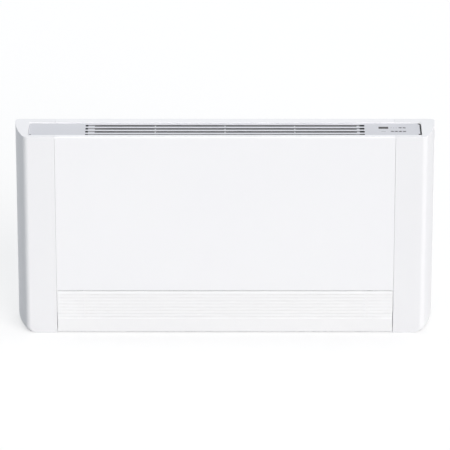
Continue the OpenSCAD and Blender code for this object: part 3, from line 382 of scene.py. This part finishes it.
def thicken(piece, wall):
    """Gives a sheet its wall in mm, on its inner side."""
    modify(piece, "SOLIDIFY", thickness=wall / 1000, offset=-1, use_even_offset=True)


def polish(piece):
    """Smooths a piece's rounded edges. The wide faces keep their own normals, so they shade flat."""
    pick(piece)
    bpy.ops.object.shade_smooth_by_angle(angle=smooth_angle)
    modify(piece, "WEIGHTED_NORMAL", mode="FACE_AREA", weight=90, keep_sharp=True)


def ease(piece, width):
    """Rounds a piece's sharp edges by a width in mm."""
    modify(piece, "BEVEL", width=width / 1000, segments=2, limit_method="ANGLE", angle_limit=sharp_angle,
           use_clamp_overlap=True)
    polish(piece)


def unite(name, *parts):
    """Joins meshes into one piece."""
    pick(*parts)
    if len(parts) > 1:
        bpy.ops.object.join()
    parts[0].name = parts[0].data.name = name
    return parts[0]


def pierce(piece, *cutters):
    """Cuts shapes out of a piece and removes the cutters."""
    for cutter in cutters:
        modify(piece, "BOOLEAN", object=cutter, operation="DIFFERENCE", solver="EXACT")
        bpy.data.objects.remove(cutter, do_unlink=True)


def copies(piece, *shifts):
    """Copies of a piece, each with its own mesh, shifted in mm: across, in depth and upwards."""
    made = []
    for shift in shifts:
        pick(piece)
        bpy.ops.object.duplicate()
        made.append(bpy.context.object)
        made[-1].location = [s / 1000 for s in shift]
        bpy.ops.object.transform_apply(location=True, rotation=True, scale=True)
    return made


def mirrored(piece):
    """A copy of a piece at the other end of the unit, as its mirror image."""
    made = copies(piece, (0, 0, 0))[0]
    made.scale.x = -1
    bpy.ops.object.transform_apply(location=True, rotation=True, scale=True)
    mode("EDIT")
    bpy.ops.mesh.select_all(action="SELECT")
    bpy.ops.mesh.normals_make_consistent(inside=False)
    mode("OBJECT")
    polish(made)
    return made


lo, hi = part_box("intake_grille")
half, foot = hi.x * 1000, lo.z * 1000
slats_from, grille_top = 41.3, 125.0
foot_bend, skirt_wall = 4.0, 2.5
skirt_back = skirt_wall - 0.1  # what is joined to the skirt starts just inside its wall
skirt = block("skirt", (-half, 0, foot + foot_bend), (half, 1, slats_from))
mode("EDIT")
choose("FACE", lambda x, f, z, face: face.normal.y > -0.9)
bpy.ops.mesh.delete(type="ONLY_FACE")
choose("VERT", lambda x, f, z, point: f > 0.5)
bpy.ops.mesh.delete(type="VERT")
choose("EDGE", lambda x, f, z, edge: z < foot + foot_bend + 0.01 and along(edge, 0))
bpy.ops.mesh.spin(steps=8, angle=-math.pi / 2, center=at(0, foot_bend, foot + foot_bend), axis=across)
mode("OBJECT")
settle(skirt, 0, 0, 20)
thicken(skirt, skirt_wall)
ease(skirt, 0.4)

slat_count, slat_pitch, slat_rise, slat_lean = 9, 9.3, 8.0, 4.4
slat_front, slat_wall, slat_foot = 0.2, 1.6, slats_from - 0.8
slats = block("slats", (-half, slat_front, slat_foot), (half, slat_front + slat_wall, slat_foot + slat_rise))
mode("EDIT")
choose("VERT", lambda x, f, z, point: z > slat_foot + slat_rise / 2)
bpy.ops.transform.translate(value=(0, slat_lean / 1000, 0))
choose("EDGE", lambda x, f, z, edge: along(edge, 0))
bpy.ops.mesh.bevel(offset=0.00045, segments=2, affect="EDGES")
bpy.ops.mesh.select_all(action="SELECT")
for count in range(slat_count - 1):
    bpy.ops.mesh.duplicate_move(TRANSFORM_OT_translate={"value": (0, 0, slat_pitch / 1000)})
mode("OBJECT")
bpy.ops.object.shade_smooth_by_angle(angle=smooth_angle)

# A rib is full depth on the skirt, and steps back behind the slats.
rib_half, rib_front, rib_rear, rib_lap = 1.0, 4.6, 7.5, 4.0
rib = block("rib", (-rib_half, skirt_back, slats_from - rib_lap), (rib_half, rib_rear, grille_top - rib_lap))
pierce(rib, block("step", (-rib_half - over, skirt_back - over, slats_from - 1),
                  (rib_half + over, rib_front, grille_top)))
ease(rib, 0.3)
rib_pitch, end_rib = 2 * half / 10, half - 6
rib_places = [k * rib_pitch for k in range(-4, 5) if k] + [-end_rib, end_rib]
ribs = [rib] + copies(rib, *((x, 0, 0) for x in rib_places))

# The filter slides in the grooves of two rails, closed at the foot.
rail_x, rail_foot, rail_top = 385.0, 19.8, 116.5
rail_width, rail_rear, rail_wall, rail_stop = 7.7, 15.0, 1.7, 1.5
rail = block("rail", (rail_x - rail_width, skirt_back, rail_foot), (rail_x, rail_rear, rail_top))
pierce(rail, block("groove", (rail_x - rail_width - over, skirt_back - over, rail_foot + rail_stop),
                   (rail_x - rail_wall, rail_rear - rail_wall, rail_top + over)))
post_x, post_w, post_front, post_rear, post_foot = 396.0, 8.0, 3.6, 17.7, 105.0
post = block("post", (post_x, post_front, post_foot), (post_x + post_w, post_rear, post_foot + post_w))

# A knuckle is a tube round the hinge pin, joined to the skirt by a web.
knuckle_x, knuckle_half, knuckle_r, pin_bore_r = 340.0, 7.5, 5.0, 2.55
hinge_f, hinge_z = 8.0, 12.5
web_rear, web_foot, web_top = 5.3, 9.0, 16.0
web = block("web", (knuckle_x - knuckle_half, skirt_back, web_foot),
            (knuckle_x + knuckle_half, web_rear, web_top))
bpy.ops.object.select_all(action="DESELECT")
bpy.ops.mesh.primitive_cylinder_add(vertices=40, radius=knuckle_r / 1000, depth=2 * knuckle_half / 1000,
                                    rotation=(0, math.pi / 2, 0), location=at(knuckle_x, hinge_f, hinge_z))
knuckle = bpy.context.object
bpy.ops.object.transform_apply(location=True, rotation=True, scale=True)
mode("EDIT")
choose("FACE", lambda x, f, z, face: abs(face.normal.x) > 0.9)
bpy.ops.mesh.inset(thickness=(knuckle_r - pin_bore_r) / 1000)
bpy.ops.mesh.bridge_edge_loops()
mode("OBJECT")
backs = [rail, post, web, knuckle]
for part in backs:
    ease(part, 0.3)
backs += [mirrored(part) for part in backs]
intake = unite("intake_grille_moulding", skirt, slats, *ribs, *backs)

# Bright white ABS: the whitest piece of the unit, off an eroded mould, with a grain of about 0.9 mm.
bright_abs = grained("bright_white_abs", "#F4F4F5", "#F1F1F3", 0.60, grain=0.9, relief=0.03, drift=200)
intake.data.materials.append(bright_abs)
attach(intake, "intake_grille")
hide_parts("intake_grille")


# Front panel: one steel sheet 1.2 mm thick, folded over at the top into a rim, returned at the foot and the
# sides, powder coated white and hung on the cover arms by four hooks.
def extrude(*shift):
    """In edit mode, extrudes what is selected by a shift in mm: across, in depth and upwards."""
    bpy.ops.mesh.extrude_region_move(TRANSFORM_OT_translate={"value": [s / 1000 for s in shift]})


lo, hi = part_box("front_panel")
half, foot, top = hi.x * 1000, lo.z * 1000, hi.z * 1000
sheet, top_bend, low_bend = 1.2, 4.0, 2.0
rim_depth, rim_drop, foot_return, side_return = 12.0, 14.0, 4.5, 8.0
panel = block("front_panel_sheet", (-half, 0, foot + low_bend), (half, 1, top - top_bend))
mode("EDIT")
choose("VERT", lambda x, f, z, point: f > 0.5)
bpy.ops.mesh.delete(type="VERT")
choose("EDGE", lambda x, f, z, edge: z > top - top_bend - 1 and along(edge, 0))
bpy.ops.mesh.spin(steps=8, angle=math.pi / 2, center=at(0, top_bend, top - top_bend), axis=across)
extrude(0, rim_depth, 0)
extrude(0, 0, -rim_drop)
choose("EDGE", lambda x, f, z, edge: z < foot + low_bend + 0.1 and along(edge, 0))
bpy.ops.mesh.spin(steps=6, angle=-math.pi / 2, center=at(0, low_bend, foot + low_bend), axis=across)
extrude(0, foot_return, 0)
choose("EDGE", lambda x, f, z, edge: abs(x) > half - 1 and f < 0.1 and along(edge, 2))
extrude(0, side_return, 0)
mode("OBJECT")
settle(panel, 0, 0, 350)
thicken(panel, sheet)
ease(panel, 0.35)

hook_outer, hook_width, hook_rear, hook_z, hook_rise = half - 30, 20.0, 26.0, 151.2, 350.0
hook = block("hook", (hook_outer - hook_width, sheet - 0.1, hook_z), (hook_outer, hook_rear, hook_z + sheet))
ease(hook, 0.3)
to_left = hook_width - 2 * hook_outer
hooks = [hook] + copies(hook, (0, 0, hook_rise), (to_left, 0, 0), (to_left, 0, hook_rise))
panel = unite("front_panel_sheet", panel, *hooks)

# Polyester powder coat: white, satin, with the shallow orange peel of a baked coat, about 2.5 mm across.
powder_coat = grained("white_polyester_powder_coat", "#F4F4F6", "#F1F1F4", 0.36, grain=2.5, relief=0.02,
                      drift=300)
panel.data.materials.append(powder_coat)
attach(panel, "cabinet")
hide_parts("front_panel")


# Rear top rail: a folded steel strip in the same powder coat, which closes the top along the wall. It keeps
# its CAD shape.
dress(powder_coat, "rear_top_rail")


# Side covers: thin white ABS shells round the two ends. Each goes round a tight front corner into a long
# bulge and a rounded rear corner. It has a rounded foot with a cut-out for the pipes and a cut-out in its
# top for the outlet grille, and is open at the back.
lo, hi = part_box("right_side_cover")
seam, wide, top, rear = lo.x * 1000, hi.x * 1000, hi.z * 1000, 131.0
bulge_r, corner_r, rear_r, foot_r = 277.0, 18.0, 12.0, 20.0
bulge_x, bulge_f = wide - bulge_r, rear - rear_r
corner_x = bulge_x + math.sqrt((bulge_r - corner_r) ** 2 - (bulge_f - corner_r) ** 2)
turn = math.atan2(corner_r - bulge_f, corner_x - bulge_x)
corner_turn = turn + math.pi / 2
corner_steps, bulge_steps, rear_steps, foot_steps = 14, 12, 8, 10
depths = [corner_r - corner_r * math.cos(corner_turn * k / corner_steps) for k in range(1, corner_steps + 1)]
depths += [bulge_f + bulge_r * math.sin(turn * (1 - k / bulge_steps)) for k in range(1, bulge_steps + 1)]
depths += [bulge_f + rear_r * math.sin(math.pi / 2 * k / rear_steps) for k in range(1, rear_steps)]
heights = [foot_r - foot_r * math.cos(math.pi / 2 * k / foot_steps) for k in range(1, foot_steps + 1)]
tray_from, tray_to, tray_end = 16.0, 105.0, 530.5
pipes_from, pipes_to, pipes_front = 480.0, 530.0, 41.0
cover_wall = 2.5


def side_reach(f):
    """How far the cover reaches from the middle of the unit, at a depth behind the front plane."""
    if f < corner_r + corner_r * math.sin(turn):
        return corner_x + math.sqrt(max(0, corner_r ** 2 - (f - corner_r) ** 2))
    if f > bulge_f:
        return wide - rear_r + math.sqrt(max(0, rear_r ** 2 - (f - bulge_f) ** 2))
    return bulge_x + math.sqrt(bulge_r ** 2 - (bulge_f - f) ** 2)


# The side face of a box is cut into strips, whose points are then moved in to the curve.
cover = block("right_side_cover_shell", (seam, 0, 0), (wide, rear, top))
mode("EDIT")
for cut in depths + [tray_from, tray_to]:
    choose("FACE", lambda x, f, z, face: face.normal.x > 0.9)
    bpy.ops.mesh.bisect(plane_co=at(0, cut, 0), plane_no=back)
for cut in heights:
    choose("FACE", lambda x, f, z, face: face.normal.x > 0.9)
    bpy.ops.mesh.bisect(plane_co=at(0, 0, cut), plane_no=up)
shape = bmesh.from_edit_mesh(cover.data)
for point in shape.verts:
    x, f, z = in_mm(point.co)
    if x > wide - 0.1:
        tuck = foot_r - math.sqrt(foot_r ** 2 - (foot_r - z) ** 2) if z < foot_r else 0
        point.co.x = (side_reach(f) - tuck) / 1000
bmesh.update_edit_mesh(cover.data)
choose("FACE", lambda x, f, z, face: f > rear - 0.1 or x < seam + 0.1)
bpy.ops.mesh.delete(type="ONLY_FACE")

# The cut-outs, first in the top and then in the foot.
for cut in (tray_from, tray_to):
    choose("FACE", lambda x, f, z, face: z > top - 0.1)
    bpy.ops.mesh.bisect(plane_co=at(0, cut, 0), plane_no=back)
choose("FACE", lambda x, f, z, face: z > top - 0.1 and tray_from < f < tray_to)
bpy.ops.mesh.bisect(plane_co=at(tray_end, 0, 0), plane_no=across)
choose("FACE", lambda x, f, z, face: z > top - 0.1 and x < tray_end and tray_from < f < tray_to)
bpy.ops.mesh.delete(type="FACE")
choose("FACE", lambda x, f, z, face: z < 0.01)
bpy.ops.mesh.bisect(plane_co=at(0, pipes_front, 0), plane_no=back)
for cut in (pipes_from, pipes_to):
    choose("FACE", lambda x, f, z, face: z < 0.01 and f > pipes_front)
    bpy.ops.mesh.bisect(plane_co=at(cut, 0, 0), plane_no=across)
choose("FACE", lambda x, f, z, face: z < 0.01 and pipes_from < x < pipes_to and f > pipes_front)
bpy.ops.mesh.delete(type="FACE")
mode("OBJECT")
settle(cover, 500, 0, 300)
thicken(cover, cover_wall)

# Sharp edges are rounded, apart from those low on the front, where the narrow strips of two curves meet.
mode("EDIT")
choose("EDGE", lambda x, f, z, edge: edge.calc_face_angle(0) > sharp_angle and not (f < 4 and z < 6))
bpy.ops.mesh.bevel(offset=0.0006, segments=3, affect="EDGES", clamp_overlap=False)
mode("OBJECT")
polish(cover)

# A return stiffens the cover along the seam, and a ledge carries the end of the outlet grille.
hair = 0.02  # mm that keep two faces out of one plane
return_front, return_rear, return_short = 1.6, 22.0, 3.0
seam_return = block("seam_return", (seam + hair, return_front, return_short),
                    (seam + cover_wall, return_rear, top - return_short))
ledge_width, ledge_play = 7.5, 0.1
ledge_foot, ledge_seat, ledge_top = top - 8, top - 5.5, top - 1
ledge = block("ledge", (tray_end - ledge_width, tray_from + ledge_play, ledge_foot),
              (tray_end + cover_wall, tray_to - ledge_play, ledge_top))
pierce(ledge, block("seat", (tray_end - ledge_width - over, tray_from - over, ledge_seat),
                    (tray_end + hair, tray_to + over, top)))
for part in (seam_return, ledge):
    ease(part, 0.4)
cover = unite("right_side_cover_shell", cover, seam_return, ledge)

# Satin white ABS: a shade deeper than the painted front, with a grain of about 0.9 mm and a soft sheen.
white_abs = grained("satin_white_abs", "#F0F0F2", "#EDEDF0", 0.44, grain=0.9, relief=0.03, drift=200)
cover.data.materials.append(white_abs)

left_cover = mirrored(cover)
left_cover.name = left_cover.data.name = "left_side_cover_shell"
for piece, node in ((cover, "right_side_cover"), (left_cover, "left_side_cover")):
    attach(piece, "cabinet")
    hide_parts(node)


# Outlet grille: a light grey ABS tray, dropped into the top, with four long air slots over a deep collar,
# and the holes for the keys and the display at its right end.
lo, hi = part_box("outlet_grille")
left_end, right_end, tray_top = lo.x * 1000, hi.x * 1000, hi.z * 1000
tray_front, tray_rear, tray_wall = 16.4, 104.6, 2.5
tray_under = tray_top - tray_wall
slot_half, slot_w, slot_pitch, slot_front = 377.0, 11.0, 21.5, 18.5
slot_rear = slot_front + 3 * slot_pitch + slot_w
key_w, key_d, key_gap = 9.0, 7.0, 0.25
key_places = {"key_power": (451.5, 47.5), "key_mode": (462.5, 47.5), "key_fan": (473.5, 47.5),
              "key_minus": (484.5, 47.5), "key_plus": (473.5, 73.5), "key_night": (484.5, 73.5)}
key_x, key_f = key_places["key_power"]
key_shifts = [(x - key_x, f - key_f, 0) for x, f in key_places.values()]
display_x, display_f, display_w, display_d = 428.0, 73.5, 22.0, 9.0


def round_uprights(piece, radius):
    """Rounds the upright edges of a box by a radius in mm."""
    pick(piece)
    mode("EDIT")
    choose("EDGE", lambda x, f, z, edge: along(edge, 2))
    bpy.ops.mesh.bevel(offset=radius / 1000, segments=4, affect="EDGES")
    mode("OBJECT")


def rod(x, f, foot, head, radius):
    """An upright round rod between two heights, sizes in mm."""
    bpy.ops.object.select_all(action="DESELECT")
    bpy.ops.mesh.primitive_cylinder_add(vertices=36, radius=radius / 1000, depth=(head - foot) / 1000,
                                        location=at(x, f, (foot + head) / 2))
    bpy.ops.object.transform_apply(location=True, rotation=True, scale=True)
    return bpy.context.object


def key_block(name, wider, deeper, foot, head):
    """A box round the first key's middle, by so much wider and deeper on each side than its cap, in mm."""
    half_w, half_d = key_w / 2 + wider, key_d / 2 + deeper
    return block(name, (key_x - half_w, key_f - half_d, foot), (key_x + half_w, key_f + half_d, head))


def in_slots(x, f, face):
    """True if a face, with its middle at a place in mm, is an upright face of the slots."""
    return abs(face.normal.z) < 0.5 and abs(x) < slot_half + 1 and slot_front - 1 < f < slot_rear + 1


tray = block("outlet_grille_tray", (left_end, tray_front, tray_under), (right_end, tray_rear, tray_top))
slot = block("slot", (-slot_half, slot_front, tray_under - over),
             (slot_half, slot_front + slot_w, tray_top + over))
round_uprights(slot, 1.5)
slots = [slot] + copies(slot, *((0, k * slot_pitch, 0) for k in (1, 2, 3)))
well = key_block("well", wider=key_gap, deeper=key_gap, foot=tray_under - over, head=tray_top + over)
round_uprights(well, 1.2)
wells = [well] + copies(well, *key_shifts[1:])
window = block("window", (display_x - display_w / 2, display_f - display_d / 2, tray_top - 1.5),
               (display_x + display_w / 2, display_f + display_d / 2, tray_top + over))
pierce(tray, *slots, *wells, window)
ease(tray, 0.35)

# Each corner hole's place across, its depth and its radius.
corner_holes = ((right_end - 1.2, 27.0, 4.2), (right_end - 1.2, 101.5, 4.0), (left_end + 4, 25.5, 2.6))
pierce(tray, *(rod(x, f, tray_under - over, tray_top + over, radius) for x, f, radius in corner_holes))
polish(tray)

# The walls of the slots are cut where their painted shade in black begins: below the rim, and at the end
# pockets.
painted_shade_top, left_pocket, right_pocket = tray_top - 1.1, 7.0 - slot_half, slot_half - 13.0
mode("EDIT")
for spot, way in (((0, 0, painted_shade_top), up), ((left_pocket, 0, 0), across), ((right_pocket, 0, 0), across)):
    choose("FACE", lambda x, f, z, face: in_slots(x, f, face))
    bpy.ops.mesh.bisect(plane_co=at(*spot), plane_no=way)
mode("OBJECT")

collar_side, collar_wall, collar_foot = 3.0, 2.0, 545.0
collar = block("collar", (-slot_half - collar_side, slot_front - collar_wall, collar_foot),
               (slot_half + collar_side, slot_rear + collar_wall, tray_under))
pierce(collar, block("hollow", (-slot_half, slot_front, collar_foot - over),
                     (slot_half, slot_rear, tray_under + over)))
bar_half, bar_deep, bar_pitch = 1.5, 9.0, 188.5
end_bar_deep, left_bar_w, right_bar_w = 2.7, 18.0, 8.0
bar = block("bar", (-bar_half, slot_front, tray_under - bar_deep), (bar_half, slot_rear, tray_under))
left_bar = block("end_bar", (left_pocket, slot_front, tray_under - end_bar_deep),
                 (left_pocket + left_bar_w, slot_rear, tray_under))
right_bar = block("end_bar", (right_pocket - right_bar_w, slot_front, tray_under - end_bar_deep),
                  (right_pocket, slot_rear, tray_under))
peg_x, peg_f, peg_length, peg_r, peg_across, peg_back = 408.0, 38.5, 10.0, 3.0, 94.0, 44.0
peg = rod(peg_x, peg_f, tray_under - peg_length, tray_under, peg_r)
for part in (collar, bar, peg, left_bar, right_bar):
    ease(part, 0.25)
bars = [bar, left_bar, right_bar] + copies(bar, (-bar_pitch, 0, 0), (bar_pitch, 0, 0))
pegs = [peg] + copies(peg, (peg_across, 0, 0), (0, peg_back, 0), (peg_across, peg_back, 0))
tray = unite("outlet_grille_tray", tray, collar, *bars, *pegs)

# Light grey ABS off a fine eroded mould: cool grey, matt, grain of about 0.9 mm.
grey_abs = grained("light_grey_abs", "#D3D4D9", "#CFD0D6", 0.50, grain=0.9, relief=0.04, drift=150)
tray.data.materials.append(grey_abs)

# Painted shade: the lower part of each slot, the pockets at its ends, the collar and all else under the tray
# are given the black plastic, so that the slots look deep. The bars under the slots stay grey.
tray.data.materials.append(black_abs)
for face in tray.data.polygons:
    x, f, z = in_mm(face.center)
    on_bar = z > tray_under - bar_deep - 0.5 and abs(x) < slot_half - 5 and slot_front < f < slot_rear
    in_pocket = x < left_pocket or x > right_pocket
    # Faces that get the black plastic are painted shade.
    if z < tray_under - 0.01:
        painted_shade = not on_bar
    else:
        painted_shade = in_slots(x, f, face) and (z < painted_shade_top or in_pocket)
    face.material_index = int(painted_shade)
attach(tray, "cabinet")
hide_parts("outlet_grille")


# Painted shade: a black strip on the right cover's ledge stands in for the shade in the gap at the end of
# the tray, and shows as a dark line there. Plugs of the same black close the fixing holes in three corners
# of the tray, as painted shade in them.
strip_play, strip_rise = 0.2, 0.8
strip = block("strip", (right_end + strip_play, tray_front + strip_play, tray_under),
              (tray_end - 0.3, tray_rear - strip_play, tray_under + strip_rise))
plug_foot, plug_top, plug_play = tray_top - 2.3, tray_top - 0.3, 0.1
shade_plugs = [rod(x, f, plug_foot, plug_top, radius - plug_play) for x, f, radius in corner_holes]
for part in [strip] + shade_plugs:
    ease(part, 0.15)
shade_seal = unite("painted_shade_seal", strip, *shade_plugs)

# Painted shade in black: quite matt, with pores of about 1 mm.
shade_filler = grained("black_painted_shade", "#1C1C1E", "#131314", 0.85, grain=1.0, relief=0.20, drift=20)
shade_seal.data.materials.append(shade_filler)
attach(shade_seal, "cabinet")


# Air vanes: three black blades under the bars of the outlet grille, turned together by a link bar beyond the
# collar's right end. They keep their CAD shape.
dress(black_abs, "air_vane_1", "air_vane_2", "air_vane_3", "vane_link")


# Keys: six mid grey caps in the holes of the tray. Each has a dished top, a flange that keeps it from coming
# out, a stem to its switch, and a dark printed sign.
cap_top, flange_top, flange_foot = tray_top + 0.4, tray_under - 0.3, tray_under - 1.5
ink_rise, ink_deep = 0.06, 0.08
print_top = cap_top + ink_rise


def disc(x, f, radius):
    """A flat printed disc, sizes in mm."""
    return rod(x, f, print_top - ink_deep, print_top, radius)


def dash(x, f, width, length, angle=0.0):
    """A flat printed bar, so long from front to back, turned by an angle in degrees, sizes in mm."""
    made = block("dash", (-width / 2, front_plane - length / 2, print_top - ink_deep),
                 (width / 2, front_plane + length / 2, print_top))
    made.rotation_euler.z = math.radians(angle)
    made.location = at(x, f, 0)
    bpy.ops.object.transform_apply(location=True, rotation=True, scale=True)
    return made


def ring(x, f, outer, inner, gap):
    """A flat printed ring, with a gap towards the wall, sizes in mm."""
    made = disc(x, f, outer)
    pierce(made, rod(x, f, print_top - over, print_top + over, inner))
    pierce(made, block("gap", (x - gap / 2, f, cap_top - over),
                       (x + gap / 2, f + outer + over, cap_top + over)))
    return made


def fuse(piece, *others):
    """Melts other shapes into a piece, so that prints that cross make one flat sign."""
    for other in others:
        modify(piece, "BOOLEAN", object=other, operation="UNION", solver="EXACT")
        bpy.data.objects.remove(other, do_unlink=True)
    mode("EDIT")
    bpy.ops.mesh.select_all(action="SELECT")
    bpy.ops.mesh.remove_doubles(threshold=merge_gap)
    bpy.ops.mesh.dissolve_limited(angle_limit=math.radians(1))
    mode("OBJECT")
    return piece


cap = key_block("cap", wider=0, deeper=0, foot=flange_top, head=cap_top)
round_uprights(cap, 1.0)
mode("EDIT")
choose("FACE", lambda x, f, z, face: face.normal.z > 0.9)
bpy.ops.mesh.inset(thickness=0.0006)
bpy.ops.transform.translate(value=(0, 0, -0.00012))
mode("OBJECT")
ease(cap, 0.25)
flange = key_block("flange", wider=0.6, deeper=1.5, foot=flange_foot, head=flange_top)
stem = key_block("stem", wider=-2.5, deeper=-1.5, foot=tray_under - 7.6, head=flange_foot)
for part in (flange, stem):
    ease(part, 0.2)
first_key = unite("key", cap, flange, stem)

# Mid grey ABS: satin, with a fine grain of about 0.7 mm. Pad print: a thin coat of nearly black, dull ink.
key_abs = grained("mid_grey_key_abs", "#A4A5AB", "#9E9FA5", 0.42, grain=0.7, relief=0.03, drift=50)
ink = grained("dark_pad_print", "#26272B", "#1D1E22", 0.55, grain=0.6, relief=0.02, drift=10)
first_key.data.materials.append(key_abs)
keys = [first_key] + copies(first_key, *key_shifts[1:])

for key, (name, (x, f)) in zip(keys, key_places.items()):
    key.name = key.data.name = name + "_cap"
    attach(key, name)
    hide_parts(name)

    if name == "key_power":
        sign = [ring(x, f, outer=3.1, inner=1.6, gap=2.4), dash(x, f + 1.7, width=1.4, length=2.8)]
    elif name == "key_mode":
        reach = 2.7
        sign = [disc(x, f, radius=1.9)]
        for a in [k * math.pi / 4 for k in range(8)]:
            ray_x, ray_f = x + reach * math.cos(a), f + reach * math.sin(a)
            sign.append(dash(ray_x, ray_f, width=1.0, length=1.1, angle=math.degrees(a)))
    elif name == "key_fan":
        reach = 1.7
        turns = [k * math.pi / 2 + 0.4 for k in range(4)]
        blades = [disc(x + reach * math.cos(a), f + reach * math.sin(a), radius=1.45) for a in turns]
        sign = [fuse(*blades)]
    elif name == "key_minus":
        sign = [dash(x, f, width=7.4, length=3.2)]
    elif name == "key_plus":
        sign = [fuse(dash(x, f, width=7.0, length=2.4), dash(x, f, width=2.4, length=5.8))]
    else:
        moon = disc(x, f, radius=3.1)
        pierce(moon, rod(x + 1.8, f + 1.0, print_top - over, print_top + over, radius=2.1))
        sign = [moon]
    mark = unite(name + "_sign", *sign)
    mark.data.materials.append(ink)
    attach(mark, name)


# Prints on the tray: a dark border round the display, three small dots beside it and a thin bar before it,
# all in the same ink as the signs on the keys.
print_top = tray_top + ink_rise
border = [dash(display_x, display_f + shift, width=26, length=2.4) for shift in (5.8, -5.8)]
border += [dash(display_x + shift, display_f, width=2.0, length=9.16) for shift in (-12.1, 12.1)]
dots = [disc(x, display_f, radius=1.2) for x in (449, 456, 463)]
prints = unite("tray_prints", *border, *dots, dash(display_x, key_f, width=12, length=1.2))
prints.data.materials.append(ink)
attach(prints, "cabinet")


# Display window: a smoked acrylic plate set flush in the tray, in its CAD shape. It is polished, and dark
# while the display is off.
smoked = grained("smoked_acrylic", "#15161A", "#101114", 0.12, grain=30, relief=0.01, drift=20, IOR=1.49)
dress(smoked, "display_window")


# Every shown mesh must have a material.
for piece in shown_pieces():
    if piece.type == "MESH" and not piece.data.materials:
        raise RuntimeError(piece.name + " has no material")
